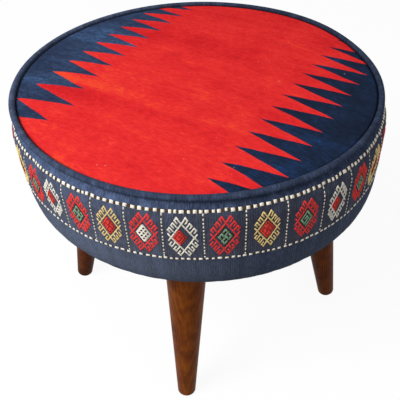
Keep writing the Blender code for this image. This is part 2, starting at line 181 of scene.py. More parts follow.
# Kilim of the top: where its rows of teeth run, in the cloth's own directions
ROW_ANGLE = math.radians(66.2)  # of the rows, from +X
LEFT_TIPS = (0.1085, 0.1715)  # navy and red tips of the left row, from the middle of the seat
RIGHT_TIPS = (-0.1075, -0.1785)
RIGHT_LEAN = -0.017  # the right row's tips move out towards the back by this share
LEFT_PITCH = 0.0286
RIGHT_PITCH = 0.0289
LEFT_PHASE = 0.0040
RIGHT_PHASE = 0.0182
STRETCH_FROM = 0.030  # past here towards the front the left teeth grow
STRETCH = 0.96  # per metre, how fast they grow
LONG_TEETH = 0.017  # how much further the longest navy teeth of the left row reach
# Which ones do, as shares of the cloth from the front to the back
LONG_PLACES = [(0, 0), (0.104, 0.33), (0.192, 1), (0.268, 0.18), (0.35, 0), (1, 0)]
# One tooth along its row, from the navy tip to the red one and back
LEFT_TOOTH = [(0, 0), (0.55, 1), (0.66, 0.86), (0.82, 0.5), (1, 0)]
RIGHT_TOOTH = [(0, 0), (0.14, 0.26), (0.48, 1), (0.72, 0.52), (1, 0)]
TOOTH_WANDER = (0.030, 0.003)  # no two teeth are alike: over what length and by how much
WARP = 0.0030  # spacing of the ribs, drawn coarser than the real 2 mm so that they show
WEFT = 0.0018  # spacing of the rows of yarn
TOP_STREAK = (0.012, 0.09)  # size of a streak of dye, along the rows of teeth and along the weft
TOP_FLECK = (0.0024, 0.0070)  # and of a fleck
CLOUD = 0.048  # size of the clouds in the dye
LINT = 0.0030  # spacing of specks of lint
YARN_RELIEF = 0.0006  # height of the weave
SEAM_SHADE_DEPTH = 0.55  # how much of the cloth's colour the painted shade in a seam hides
SEAM_SHADE_SHARES = (0.990, 0.998)  # shares of the top's radius between which that painted shade lies
# Colour of the painted shade in the seams
SEAM_SHADE_COLOUR = "0E121B"
SHOT = 0.26  # how much of the band's colour the brown yarn behind its ground hides
SHOT_BROWN = "554F4A"
SHOT_EDGE = 0.002  # width over which that begins and ends
GREYING = 0.50  # how much of its colour the grey hides lower down, where the strip is lightest
GREYING_COLOUR = "696D76"
GREYING_PLACES = (0.015, 0.100)  # where the greying starts and is full, from the upper edge down
BAND_STREAK = (0.012, 0.11)  # streaks and flecks of the band, along it and upright
BAND_FLECK = (0.0022, 0.007)
EDGE_STEP = 0.0006  # the teeth's edges step by this much, less than a row, as two wefts dovetail
CLOTH_REACH = 0.21  # from the middle to the front or the back of the cloth
# Lightness of the red's dye lots, band after band of wefts from the front to the back
DYE_LOTS = [
    (0, 0.62), (0.20, 0.54), (0.252, 0.30), (0.278, 0.46), (0.308, 0.84), (0.348, 0.56),
    (0.41, 0.62), (0.50, 0.50), (0.60, 0.50), (0.66, 0.32), (0.74, 0.45), (1, 0.50),
]
# And of the two navy fields'
LEFT_LOTS = [
    (0, 0.50), (0.12, 0.46), (0.185, 0.34), (0.25, 0.74), (0.31, 0.42),
    (0.48, 0.46), (0.55, 0.78), (0.61, 0.80), (0.69, 0.50), (1, 0.40),
]
RIGHT_LOTS = [
    (0, 0.40), (0.12, 0.46), (0.20, 0.60), (0.28, 0.44), (0.37, 0.58), (0.46, 0.40),
    (0.60, 0.38), (0.74, 0.54), (0.84, 0.42), (1, 0.40),
]


def tapestry_wool():
    """Slit-woven kilim wool: weft rows beaten down over hidden warps.

    The eye sees a matt, faintly ribbed cloth, stepped edges between red and navy teeth, and
    abrash, the bands along the weft where one dye lot gave way to the next.
    """
    made, tree, shader = material("slit_woven_kilim_wool", 0.95, specular=0.03)
    place = node(tree, COORDINATES, out=3)
    cloth = node(tree, MAPPING, {"Vector": place, "Rotation": (0, 0, -ROW_ANGLE)})
    along = node(tree, SPLIT, {0: cloth}, out=0)
    across = node(tree, SPLIT, {0: cloth}, out=1)

    # Each tooth's edge is stepped, and no two teeth are quite alike
    stepped = node(tree, MATH, {0: along, 1: EDGE_STEP}, operation="SNAP")
    uneven = node(tree, NOISE, {"Vector": cloth, "Scale": 1 / TOOTH_WANDER[0], "Detail": 1.0})
    row = node(tree, MATH, {0: uneven, 1: TOOTH_WANDER[1], 2: stepped}, operation="MULTIPLY_ADD")

    # Left teeth: their share of a pitch, then the curve of one tooth from navy tip to red tip
    past = node(tree, MATH, {0: row, 1: -1.0, 2: -STRETCH_FROM}, operation="MULTIPLY_ADD")
    past = node(tree, MATH, {0: past, 1: 0.0}, operation="MAXIMUM")
    grown = node(tree, MATH, {0: past, 1: past}, operation="MULTIPLY")
    grown = node(tree, MATH, {0: grown, 1: STRETCH, 2: row}, operation="MULTIPLY_ADD")
    share = node(tree, MATH, {0: grown, 1: LEFT_PHASE}, operation="ADD")
    share = node(tree, MATH, {0: share, 1: LEFT_PITCH}, operation="DIVIDE")
    share = node(tree, MATH, {0: share}, operation="FRACT")
    tooth = node(tree, CURVE, {"Value": share}, points=LEFT_TOOTH)
    reach = node(tree, RANGE, {0: row, 1: -CLOTH_REACH, 2: CLOTH_REACH})
    reach = node(tree, CURVE, {"Value": reach}, points=LONG_PLACES)
    reach = node(tree, RANGE, {0: reach, 3: LEFT_TIPS[0], 4: LEFT_TIPS[0] - LONG_TEETH})
    edge = node(tree, RANGE, {0: tooth, 3: reach, 4: LEFT_TIPS[1]})
    is_left = node(tree, MATH, {0: across, 1: edge}, operation="GREATER_THAN")

    # Right teeth in the same way
    share = node(tree, MATH, {0: row, 1: RIGHT_PHASE}, operation="ADD")
    share = node(tree, MATH, {0: share, 1: RIGHT_PITCH}, operation="DIVIDE")
    share = node(tree, MATH, {0: share}, operation="FRACT")
    tooth = node(tree, CURVE, {"Value": share}, points=RIGHT_TOOTH)
    edge = node(tree, RANGE, {0: tooth, 3: RIGHT_TIPS[0], 4: RIGHT_TIPS[1]})
    edge = node(tree, MATH, {0: row, 1: RIGHT_LEAN, 2: edge}, operation="MULTIPLY_ADD")
    is_right = node(tree, MATH, {0: across, 1: edge}, operation="LESS_THAN")

    # Streaks and flecks drawn out along the weft, clouds, and the dye lots, strongest at the left
    long = node(tree, MAPPING, {"Vector": cloth, "Scale": (1 / TOP_STREAK[0], 1 / TOP_STREAK[1], 1)})
    streak = node(tree, NOISE, {"Vector": long, "Scale": 1.0, "Detail": 3.0})
    short = node(tree, MAPPING, {"Vector": cloth, "Scale": (1 / TOP_FLECK[0], 1 / TOP_FLECK[1], 1)})
    fleck = node(tree, NOISE, {"Vector": short, "Scale": 1.0, "Detail": 2.0})
    cloud = node(tree, NOISE, {"Vector": cloth, "Scale": 1 / CLOUD, "Detail": 2.0})
    wandering = node(tree, MATH, {0: streak, 1: 0.012, 2: along}, operation="MULTIPLY_ADD")
    band = node(tree, RANGE, {0: wandering, 1: 0.006 - CLOTH_REACH, 2: 0.006 + CLOTH_REACH})
    lightness = node(tree, CURVE, {"Value": band}, points=DYE_LOTS)
    left_half = node(tree, RANGE, {0: across, 1: -0.03, 2: 0.05, 3: 0.25, 4: 1.0})
    lightness = node(tree, MIX, {0: left_half, 2: 0.5, 3: lightness})
    left_lot = node(tree, CURVE, {"Value": band}, points=LEFT_LOTS)
    right_lot = node(tree, CURVE, {"Value": band}, points=RIGHT_LOTS)
    # The tone is a weighted sum of them, and each colour ramp starts from it
    tone = node(tree, MATH, {0: streak, 1: 0.22}, operation="MULTIPLY")
    tone = node(tree, MATH, {0: fleck, 1: 0.30, 2: tone}, operation="MULTIPLY_ADD")
    tone = node(tree, MATH, {0: cloud, 1: 0.28, 2: tone}, operation="MULTIPLY_ADD")
    left_tone = node(tree, MATH, {0: left_lot, 1: 0.34, 2: tone}, operation="MULTIPLY_ADD")
    right_tone = node(tree, MATH, {0: right_lot, 1: 0.34, 2: tone}, operation="MULTIPLY_ADD")
    tone = node(tree, MATH, {0: lightness, 1: 0.40, 2: tone}, operation="MULTIPLY_ADD")
    red_stops = [(0.47, "CC2026"), (0.58, "DE2A2C"), (0.66, "E63230"), (0.76, "F0482E")]
    red = node(tree, RAMP, {0: tone}, stops=red_stops)
    # The left field's navy is painted lighter and the right field's darker, for light from the left; their
    # patches are the fields' dye lots
    lit_navy_stops = [(0.44, "232D46"), (0.56, "2E3B56"), (0.65, "364A6B"), (0.76, "4A6C98")]
    left_navy = node(tree, RAMP, {0: left_tone}, stops=lit_navy_stops)
    shaded_navy_stops = [(0.44, "171F30"), (0.57, "1C283E"), (0.66, "1E3458"), (0.76, "244C86")]
    right_navy = node(tree, RAMP, {0: right_tone}, stops=shaded_navy_stops)
    shown = node(tree, MIX, {0: is_left, 6: red, 7: left_navy}, out=2, data_type="RGBA")
    shown = node(tree, MIX, {0: is_right, 6: shown, 7: right_navy}, out=2, data_type="RGBA")

    # Specks of undyed wool that stuck to the yarn
    lint = node(tree, NOISE, {"Vector": cloth, "Scale": 1 / LINT, "Detail": 0.0})
    lint = node(tree, RANGE, {0: lint, 1: 0.86, 2: 0.91, 3: 0.0, 4: 0.40})
    shown = node(tree, MIX, {0: lint, 6: shown, 7: colour("E8B8AC")}, out=2, data_type="RGBA")

    # Weave: weft rows crossing the warps' ribs. The rows shade each other, so it shows as tone too
    weft = node(
        tree, WAVE, {"Vector": cloth, "Scale": wave_scale(WEFT), "Distortion": 2.5, "Detail Scale": 2.0},
        out=1, bands_direction="X",
    )
    warp = node(
        tree, WAVE, {"Vector": cloth, "Scale": wave_scale(WARP), "Distortion": 1.8, "Detail Scale": 2.0},
        out=1, bands_direction="Y",
    )
    weave = node(tree, MATH, {0: warp, 1: 0.6, 2: weft}, operation="MULTIPLY_ADD")
    weave = node(tree, MATH, {0: fleck, 1: 1.4, 2: weave}, operation="MULTIPLY_ADD")
    relief = node(tree, BUMP, {"Strength": 0.40, "Distance": YARN_RELIEF, "Height": weave})
    shade = node(tree, RANGE, {0: weave, 1: 0.4, 2: 2.4, 3: 0.92, 4: 1.06})
    shown = node(tree, MIX, {0: 1.0, 6: shown, 7: shade}, out=2, data_type="RGBA", blend_type="MULTIPLY")

    # Painted shade in the seam beside the welt, by the edge attribute, the share of the way out to it
    edge = node(tree, "ShaderNodeAttribute", out=2, attribute_name="edge")
    seam_shade = node(tree, RANGE, {0: edge, 1: SEAM_SHADE_SHARES[0], 2: SEAM_SHADE_SHARES[1], 3: 0.0, 4: SEAM_SHADE_DEPTH})
    shown = node(tree, MIX, {0: seam_shade, 6: shown, 7: colour(SEAM_SHADE_COLOUR)}, out=2, data_type="RGBA")
    tree.links.new(shown, shader.inputs["Base Color"])
    tree.links.new(relief, shader.inputs["Normal"])
    return made


def indigo_wool(name, stops, weft, warp, length, lots_and_light, seam_shade_span=None, shot=None):
    """Indigo-dyed flatweave, read along the strip: upright ribs, level rows and dye streaks.

    The eye sees a matt blue-black cloth with lighter upright streaks where the indigo took less.
    Lots and light give its lightness along the strip of this length, in shares of it: dye lots, and
    for the band and piping painted light on the left and painted shade on the right. Lower down it
    turns greyer, most where it is lightest. The seam span is where, across the strip, shade in a seam
    is painted in, and shot where brown yarn runs on behind the ground and dulls it.
    """
    made, tree, shader = material(name, 0.95, specular=0.04)
    cloth = node(tree, "ShaderNodeUVMap")
    upright = node(tree, MAPPING, {"Vector": cloth, "Scale": (1 / BAND_STREAK[0], 1 / BAND_STREAK[1], 1)})
    streak = node(tree, NOISE, {"Vector": upright, "Scale": 1.0, "Detail": 4.0})
    short = node(tree, MAPPING, {"Vector": cloth, "Scale": (1 / BAND_FLECK[0], 1 / BAND_FLECK[1], 1)})
    fleck = node(tree, NOISE, {"Vector": short, "Scale": 1.0, "Detail": 2.0})
    share = node(tree, SPLIT, {0: cloth})
    share = node(tree, RANGE, {0: share, 1: 0.0, 2: length})
    # Lightness along the strip: dye lots, and for the band and piping painted light and shade too
    lightness = node(tree, CURVE, {"Value": share}, points=lots_and_light)
    tone = node(tree, MATH, {0: streak, 1: 0.45}, operation="MULTIPLY")
    tone = node(tree, MATH, {0: fleck, 1: 0.40, 2: tone}, operation="MULTIPLY_ADD")
    tone = node(tree, MATH, {0: lightness, 1: 0.30, 2: tone}, operation="MULTIPLY_ADD")
    shown = node(tree, RAMP, {0: tone}, stops=stops)
    down = node(tree, SPLIT, {0: cloth}, out=1)
    # Greyer from just under the upper edge down, most where the strip is lightest
    greying = node(tree, RANGE, {0: down, 1: GREYING_PLACES[0], 2: GREYING_PLACES[1], 3: 0.0, 4: GREYING})
    greying = node(tree, MATH, {0: greying, 1: lightness}, operation="MULTIPLY")
    shown = node(tree, MIX, {0: greying, 6: shown, 7: colour(GREYING_COLOUR)}, out=2, data_type="RGBA")
    if shot:
        brown = node(tree, RANGE, {0: down, 1: shot[0], 2: shot[0] + SHOT_EDGE, 3: 0.0, 4: SHOT})
        ends = node(tree, RANGE, {0: down, 1: shot[1] - SHOT_EDGE, 2: shot[1], 3: 1.0, 4: 0.0})
        brown = node(tree, MATH, {0: brown, 1: ends}, operation="MULTIPLY")
        shown = node(tree, MIX, {0: brown, 6: shown, 7: colour(SHOT_BROWN)}, out=2, data_type="RGBA")
    # Painted shade in a seam, across the strip where the seam span says
    if seam_shade_span:
        seam_shade = node(tree, RANGE, {0: down, 1: seam_shade_span[0], 2: seam_shade_span[1], 3: 0.0, 4: SEAM_SHADE_DEPTH})
        shown = node(tree, MIX, {0: seam_shade, 6: shown, 7: colour(SEAM_SHADE_COLOUR)}, out=2, data_type="RGBA")
    rows = node(
        tree, WAVE, {"Vector": cloth, "Scale": wave_scale(weft), "Distortion": 1.0, "Detail Scale": 2.0},
        out=1, bands_direction="Y",
    )
    ribs = node(
        tree, WAVE, {"Vector": cloth, "Scale": wave_scale(warp), "Distortion": 0.8, "Detail Scale": 2.0},
        out=1, bands_direction="X",
    )
    weave = node(tree, MATH, {0: rows, 1: ribs}, operation="ADD")
    weave = node(tree, MATH, {0: fleck, 1: 0.8, 2: weave}, operation="MULTIPLY_ADD")
    relief = node(tree, BUMP, {"Strength": 0.5, "Distance": YARN_RELIEF, "Height": weave})
    shade = node(tree, RANGE, {0: weave, 1: 0.3, 2: 2.4, 3: 0.78, 4: 1.14})
    shown = node(tree, MIX, {0: 1.0, 6: shown, 7: shade}, out=2, data_type="RGBA", blend_type="MULTIPLY")
    tree.links.new(shown, shader.inputs["Base Color"])
    tree.links.new(relief, shader.inputs["Normal"])
    return made


def brocade_yarn(name, dull, bright, stitch=0.0017):
    """Plied wool laid over the ground in short floats: soft, matt, one stitch after another.

    Each lozenge was worked from its own hank, so the mesh's shade attribute moves its colour.
    """
    made, tree, shader = material(name, 0.9, specular=0.05)
    yarn = node(tree, "ShaderNodeUVMap")
    stitches = node(
        tree, WAVE, {"Vector": yarn, "Scale": wave_scale(stitch), "Distortion": 1.5},
        out=1, bands_direction="DIAGONAL",
    )
    hair = node(tree, NOISE, {"Vector": yarn, "Scale": 1 / 0.0012, "Detail": 3.0})
    hank = node(tree, "ShaderNodeAttribute", out=2, attribute_name="shade")
    tone = node(tree, MATH, {0: hair, 1: 0.5, 2: hank}, operation="MULTIPLY_ADD")
    shown = node(tree, RAMP, {0: tone}, stops=[(0.1, dull), (1.0, bright)])
    height = node(tree, MATH, {0: hair, 1: 0.7, 2: stitches}, operation="MULTIPLY_ADD")
    shade = node(tree, RANGE, {0: height, 1: 0.2, 2: 1.4, 3: 0.86, 4: 1.06})
    shown = node(tree, MIX, {0: 1.0, 6: shown, 7: shade}, out=2, data_type="RGBA", blend_type="MULTIPLY")
    relief = node(tree, BUMP, {"Strength": 0.5, "Distance": 0.0004, "Height": height})
    tree.links.new(shown, shader.inputs["Base Color"])
    tree.links.new(relief, shader.inputs["Normal"])
    return made


RING = 0.0024  # width of the tree's growth rings
PITH = (0.024, 0.003)  # how far from the leg's axis the tree's middle lies
GRAIN_SPIN = 1.9  # each leg's grain is turned by this many times its angle round the seat
GRAIN_SHIFT = 0.31  # and starts this much further along the tree than the leg before it


def stained_wood():
    """Turned beech, stained walnut-brown by wiping, under satin lacquer.

    The eye sees dark grain lines that open into round arches where the taper cuts the rings,
    short pores, and a soft sheen. The grain attribute holds each leg's own coordinates, and the
    other attribute the painted shade that darkens the legs at the sides and back.
    """
    made, tree, shader = material("walnut_stained_beech", 0.42, specular=0.04)
    grain = node(tree, "ShaderNodeAttribute", out=1, attribute_name="grain")
    painted_leg_shade = node(tree, "ShaderNodeAttribute", out=2, attribute_name="leg_shade")
    drawn = node(tree, MAPPING, {"Vector": grain, "Scale": (1, 1, 0.10)})
    drift = node(tree, NOISE, {"Vector": drawn, "Scale": 1 / 0.010, "Detail": 2.0}, out=1)
    bent = node(tree, MIX, {0: 0.0080, 4: drawn, 5: drift}, out=1, data_type="VECTOR")
    rings = node(
        tree, WAVE, {"Vector": bent, "Scale": wave_scale(RING), "Distortion": 3.0, "Detail Scale": 0.4},
        out=1, wave_type="RINGS", rings_direction="Z", wave_profile="SIN",
    )
    thin = node(tree, MAPPING, {"Vector": grain, "Scale": (1 / 0.0006, 1 / 0.0006, 1 / 0.010)})
    pores = node(tree, NOISE, {"Vector": thin, "Scale": 1.0, "Detail": 2.0})
    blotch = node(tree, NOISE, {"Vector": grain, "Scale": 1 / 0.030, "Detail": 2.0})
    tone = node(tree, MATH, {0: rings, 1: 0.10}, operation="MULTIPLY")
    tone = node(tree, MATH, {0: pores, 1: 0.36, 2: tone}, operation="MULTIPLY_ADD")
    tone = node(tree, MATH, {0: blotch, 1: 0.44, 2: tone}, operation="MULTIPLY_ADD")
    # Painted shade: the legs at the sides and back are drawn darker, the left one most
    tone = node(tree, MATH, {0: tone, 1: painted_leg_shade}, operation="SUBTRACT")
    stops = [(0.18, "34130A"), (0.33, "54270C"), (0.45, "6A340F"), (0.59, "7F4512"), (0.71, "935A1C")]
    shown = node(tree, RAMP, {0: tone}, stops=stops)
    relief = node(tree, BUMP, {"Strength": 0.12, "Distance": 0.0003, "Height": tone})
    gloss = node(tree, RANGE, {0: tone, 1: 0.3, 2: 0.8, 3: 0.46, 4: 0.34})
    tree.links.new(shown, shader.inputs["Base Color"])
    tree.links.new(gloss, shader.inputs["Roughness"])
    tree.links.new(relief, shader.inputs["Normal"])
    return made


def plain_finish(name, stops, grain, roughness, specular=0.4, metallic=0.0, bump=0.2):
    """A finish seen only on the underside or inside: one noise, stretched as the stuff is made.

    Grain is the size in metres of its streaks, flakes or cells along each axis.
    """
    made, tree, shader = material(name, roughness, specular, metallic)
    place = node(tree, COORDINATES, out=3)
    drawn = node(tree, MAPPING, {"Vector": place, "Scale": [1 / size for size in grain]})
    pattern = node(tree, NOISE, {"Vector": drawn, "Scale": 1.0, "Detail": 3.0})
    shown = node(tree, RAMP, {0: pattern}, stops=stops)
    relief = node(tree, BUMP, {"Strength": bump, "Distance": 0.0004, "Height": pattern})
    rougher = min(roughness * 1.15, 1.0)
    gloss = node(tree, RANGE, {0: pattern, 1: 0.3, 2: 0.7, 3: roughness * 0.85, 4: rougher})
    tree.links.new(shown, shader.inputs["Base Color"])
    tree.links.new(gloss, shader.inputs["Roughness"])
    tree.links.new(relief, shader.inputs["Normal"])
    return made


def grid_piece(name, points, finish, wrap, replaces=(), uv=None, attributes=None):
    """A piece of one or more grids of points, an array of copies by rows by columns by 3.

    Wrap says whether the last row joins the first, and the last column the first. Rows that
    shrink to a point close as poles, because doubles are merged. UV has one row and one column
    more than the points where they wrap. Attributes are one number or vector for each point.
    """
    points = np.asarray(points, float)
    if points.ndim == 3:
        points = points[None]
    copies, rows, columns, _ = points.shape
    row, column = np.meshgrid(
        np.arange(rows - 1 + wrap[0]), np.arange(columns - 1 + wrap[1]), indexing="ij"
    )
    corner_row = np.stack([row, row + 1, row + 1, row], -1).reshape(-1, 4)
    corner_column = np.stack([column, column, column + 1, column + 1], -1).reshape(-1, 4)
    one = corner_row % rows * columns + corner_column % columns
    faces = (one[None] + (np.arange(copies) * rows * columns)[:, None, None]).reshape(-1, 4)
    mesh = bpy.data.meshes.new(name)
    mesh.from_pydata(points.reshape(-1, 3), [], faces)
    if uv is not None:
        spread = np.broadcast_to(uv, (copies, rows + wrap[0], columns + wrap[1], 2))
        corners = spread[:, corner_row, corner_column].reshape(-1)
        mesh.uv_layers.new(name="cloth").data.foreach_set("uv", corners.astype(np.float32))
    for attribute, values in (attributes or {}).items():
        values = np.asarray(values, np.float32)
        is_vector = values.shape[-1] == 3 and values.ndim == points.ndim
        kind, field = ("FLOAT_VECTOR", "vector") if is_vector else ("FLOAT", "value")
        mesh.attributes.new(attribute, kind, "POINT").data.foreach_set(field, values.ravel())
    shape = bmesh.new()
    shape.from_mesh(mesh)
    bmesh.ops.remove_doubles(shape, verts=shape.verts, dist=0.000001)
    bmesh.ops.recalc_face_normals(shape, faces=shape.faces)
    shape.to_mesh(mesh)
    shape.free()
    mesh.shade_smooth()
    mesh.materials.append(finish)
    piece = bpy.data.objects.new(name, mesh)
    bpy.context.scene.collection.objects.link(piece)
    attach(piece, "root")
    if replaces:
        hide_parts(*replaces)
    return piece


def round_the_seat(count):
    """Angles from the front, once round."""
    return np.linspace(0, 2 * math.pi, count, endpoint=False)


def polar(radius, angle, height):
    """Points at these distances from the seat's axis, angles from the front and heights.

    The whole seat leans and swells a little, and its rim is tipped, as the real one's are.
    """
    radius, angle, height = np.broadcast_arrays(radius, angle, height)
    lean = LEAN * (height - LEAN_LEVEL)
    radius = radius * (1 + FLARE * (height - UNDERSIDE) / (RIM_TOP - UNDERSIDE))
    near_rim = np.clip((height - RIM_TOP + TIP_DEPTH) / (TIP_DEPTH - TIP_WHOLE), 0, 1)
    seen_from = angle - CAMERA_AZIMUTH
    share = radius / RIM_RADIUS
    tipped = height - near_rim * (TIP_SINK + TIP / 2 * share * np.cos(seen_from))
    sideways = np.sin(seen_from)
    at_left, at_right = WELT_LEFT * sideways**LEFT_POWER, WELT_RIGHT * sideways**RIGHT_POWER
    aside = np.where(sideways < 0, at_left, at_right)
    behind = (seen_from - BACK_ANGLE + math.pi) % (2 * math.pi) - math.pi
    bulge = np.exp(-((behind / BACK_WIDTH) ** 2))
    radius = radius + near_rim * share**RIM_POWER * (aside + BACK_OUT * bulge)
    return np.stack([radius * np.sin(angle) + lean, -radius * np.cos(angle), tipped], -1)


def ripples(angle, height, waves, amplitude, seed):
    """Soft unevenness: a sum of seeded waves that close round the seat.

    Each has 2 to 14 crests, slants by its rise, and is the weaker the more crests it has.
    """
    draw = np.random.default_rng(seed)
    total = np.zeros(np.broadcast(angle, height).shape)
    for _ in range(waves):
        turns = draw.integers(2, 15)
        rise = draw.uniform(-45, 45)
        start = draw.uniform(0, 2 * math.pi)
        total = total + np.sin(turns * angle + rise * height + start) / turns**0.5
    return amplitude * total / math.sqrt(waves)


STRIP_JOIN = math.radians(-40.8)  # where the ends of the band are sewn together
JOIN_DEPTH, JOIN_WIDTH = 0.0009, 0.0016  # of the furrow there
CREASE_BELOW = 0.0115  # a crease runs round the band this far below the rim
CREASE_DEPTH, CREASE_WIDTH = 0.0015, 0.0045
DRAW_FROM = 0.02  # what the upholsterer drew in further starts this far above the tuck
BAND_WAVES, TOP_WAVES = 0.0006, 0.0004  # height of soft waves in the covers


def side_radius(height):
    """Radius of the band's outer face: a parabola up to the seam, upright, an ellipse below."""
    above = np.clip((height - FULL_HEIGHT) / DRAW_DEPTH, 0, 1)
    below = np.clip((TUCK_HEIGHT - height) / TUCK_RISE, 0, 1)
    drawn = SIDE_RADIUS - RIM_RADIUS + SEAM_SETBACK
    return SIDE_RADIUS - drawn * above**2 - TUCK_IN * (1 - np.sqrt(1 - below**2))


def crowned(radius):
    """Height of the top above its edge: flat in the middle, steeper towards the welt."""
    return CROWN * (1 - np.clip(radius / TOP_RADIUS, 0, 1) ** CROWN_POWER)


# Cloth that its padding presses out
PRESSURE = 4.0
FRAMES = 20
TIGHT_LEVELS = 9
BAND_ROWS, BAND_COLUMNS = 32, 264  # points of the band's cloth, about 5 mm apart
BAND_ROW = (BAND_TOP - UNDERSIDE) / (BAND_ROWS - 1)
BAND_IN = 0.0014  # the band starts this much smaller
BAND_EASE = 6  # rows of points over which that fades to nothing at its seams
BAND_SLACK = 0.012  # and its loosest places were cut this much longer
BAND_STIFFNESS = 15
BAND_CAP = 0.0016  # no point of it ends further than this from its even form
TOP_COUNT = 77
TOP_STEP = 0.006
TOP_IN = 0.0025  # the middle of the top starts this much lower
TOP_SLACK = 0.0004
TOP_STIFFNESS = 140
TOP_CAP = 0.0025


def pressed_out(points, held, tight, slack, stiffness, wrap):
    """Where a grid of cloth comes to rest when its padding presses from behind.

    Blender's cloth runs for some frames without gravity, with pressure along the faces' normals.
    Held says where seams or staples hold it, and tight, from 0 to 1, how tightly each place was
    cut: the loosest ones have slack. Wrap says whether the last column joins the first.
    """
    rows, columns, _ = points.shape
    row, column = np.meshgrid(np.arange(rows - 1), np.arange(columns - 1 + wrap), indexing="ij")
    after = (column + 1) % columns
    faces = np.stack([row * columns + column, (row + 1) * columns + column,
                      (row + 1) * columns + after, row * columns + after], -1).reshape(-1, 4)
    mesh = bpy.data.meshes.new("pressed")
    mesh.from_pydata(points.reshape(-1, 3), [], faces)
    cloth = bpy.data.objects.new("pressed", mesh)
    scene = bpy.context.scene
    scene.collection.objects.link(cloth)
    cloth.vertex_groups.new(name="held").add(np.flatnonzero(held).tolist(), 1.0, "REPLACE")
    cut = cloth.vertex_groups.new(name="tight")
    level = np.round(tight.ravel() * (TIGHT_LEVELS - 1))
    for step in range(TIGHT_LEVELS):
        cut.add(np.flatnonzero(level == step).tolist(), step / (TIGHT_LEVELS - 1), "REPLACE")
    settings = cloth.modifiers.new("cloth", "CLOTH").settings
    settings.quality = 6
    settings.mass = 0.3
    settings.tension_stiffness = stiffness
    settings.compression_stiffness = stiffness
    settings.bending_stiffness = 2.0
    settings.vertex_group_mass = "held"
    settings.vertex_group_shrink = "tight"
    settings.shrink_min = -slack
    settings.shrink_max = 0.0
    settings.use_pressure = True
    settings.uniform_pressure_force = PRESSURE
    settings.effector_weights.gravity = 0.0
    for frame_number in range(1, FRAMES + 1):
        scene.frame_set(frame_number)
    rested = cloth.evaluated_get(bpy.context.evaluated_depsgraph_get()).data
    moved = np.empty(points.size)
    rested.vertices.foreach_get("co", moved)
    scene.frame_set(1)
    bpy.data.objects.remove(cloth)
    bpy.data.meshes.remove(mesh)
    return moved.reshape(points.shape)


def between(field, row, column):
    """Values between the points of a field, linear both ways. Its last column joins the first."""
    row = np.clip(row, 0, len(field) - 1.001)
    low, first = np.floor(row).astype(int), np.floor(column).astype(int)
    up, on = row - low, column - first
    first, second = first % field.shape[1], (first + 1) % field.shape[1]
    above = field[low, first] * (1 - on) + field[low, second] * on
    below = field[low + 1, first] * (1 - on) + field[low + 1, second] * on
    return above * (1 - up) + below * up


def band_swell():
    """How far the padding presses the band out of its even form, row by row from the seam down."""
    height = (BAND_TOP - BAND_ROW * np.arange(BAND_ROWS))[:, None]
    angle = round_the_seat(BAND_COLUMNS)
    outward = np.stack([np.sin(angle), -np.cos(angle)], -1)
    from_seam = np.minimum(np.arange(BAND_ROWS), np.arange(BAND_ROWS)[::-1])[:, None]
    smaller = BAND_IN * np.clip((from_seam - 1) / BAND_EASE, 0, 1)
    radius = side_radius(height) - smaller
    start = np.stack(np.broadcast_arrays(radius * outward[:, 0], radius * outward[:, 1], height), -1)
    held = np.zeros(start.shape[:2], bool)
    held[[0, 1, -2, -1]] = True
    tight = np.clip(0.5 + ripples(angle, height, 12, 0.6, seed=21), 0, 1)
    moved = pressed_out(start, held, tight, BAND_SLACK, BAND_STIFFNESS, 1) - start
    out = (moved[..., :2] * outward).sum(-1) - smaller
    return np.clip(out, -BAND_CAP, BAND_CAP)


def top_swell():
    """How far the padding presses the top out of its even form, on a square grid over the seat."""
    step = TOP_STEP * (np.arange(TOP_COUNT) - (TOP_COUNT - 1) / 2)
    x, y = step[None], -step[:, None]
    radius = np.hypot(x, y)
    low = TOP_IN * crowned(radius) / CROWN
    start = np.stack(np.broadcast_arrays(x, y, TOP_EDGE + crowned(radius) - low), -1)
    held = radius > TOP_RADIUS - TOP_STEP
    tight = np.clip(0.5 + ripples(np.arctan2(x, -y), radius, 12, 0.6, seed=23), 0, 1)
    moved = pressed_out(start, held, tight, TOP_SLACK, TOP_STIFFNESS, 0) - start
    return np.clip(moved[..., 2] - low, -TOP_CAP, TOP_CAP)


BAND_SWELL = band_swell()
TOP_SWELL = top_swell()


def drawn_in(angle, height):
    """How much further than the even form the upholsterer drew the lower part in."""
    low = np.clip((TUCK_HEIGHT + DRAW_FROM - height) / (TUCK_RISE + DRAW_FROM), 0, 1)
    left = (1 - np.sin(angle - CAMERA_AZIMUTH)) / 2
    front = np.clip(np.cos(angle - CAMERA_AZIMUTH), 0, 1) ** 2
    return low * (TUCK_MORE * left + TUCK_FRONT * front)


def band_unevenness(angle, height):
    """How far the band stands out of its even form: soft waves, a crease under the welt, the join."""
    share = np.clip((height - UNDERSIDE) / (BAND_TOP - UNDERSIDE), 0, 1)
    fade = np.clip(4 * share * (1 - share), 0, 1)
    waves = ripples(angle, height, 9, BAND_WAVES, seed=5)
    crease = np.exp(-(((height - (RIM_TOP - CREASE_BELOW)) / CREASE_WIDTH) ** 2))
    crease = crease * (0.4 + 0.6 * np.cos((angle - CAMERA_AZIMUTH) / 2) ** 2)
    gap = (angle - STRIP_JOIN + math.pi) % (2 * math.pi) - math.pi
    join = np.exp(-((gap * SIDE_RADIUS / JOIN_WIDTH) ** 2))
    pressed = between(BAND_SWELL, (BAND_TOP - height) / BAND_ROW, angle / (2 * math.pi) * BAND_COLUMNS)
    uneven = pressed + fade * waves - CREASE_DEPTH * crease - JOIN_DEPTH * join * fade
    return uneven - drawn_in(angle, height)


def on_band(along, height, lift):
    """Points on the band's outer face, given the arc length from the front and the height."""
    angle = along / SIDE_RADIUS
    return polar(side_radius(height) + band_unevenness(angle, height) + lift, angle, height)


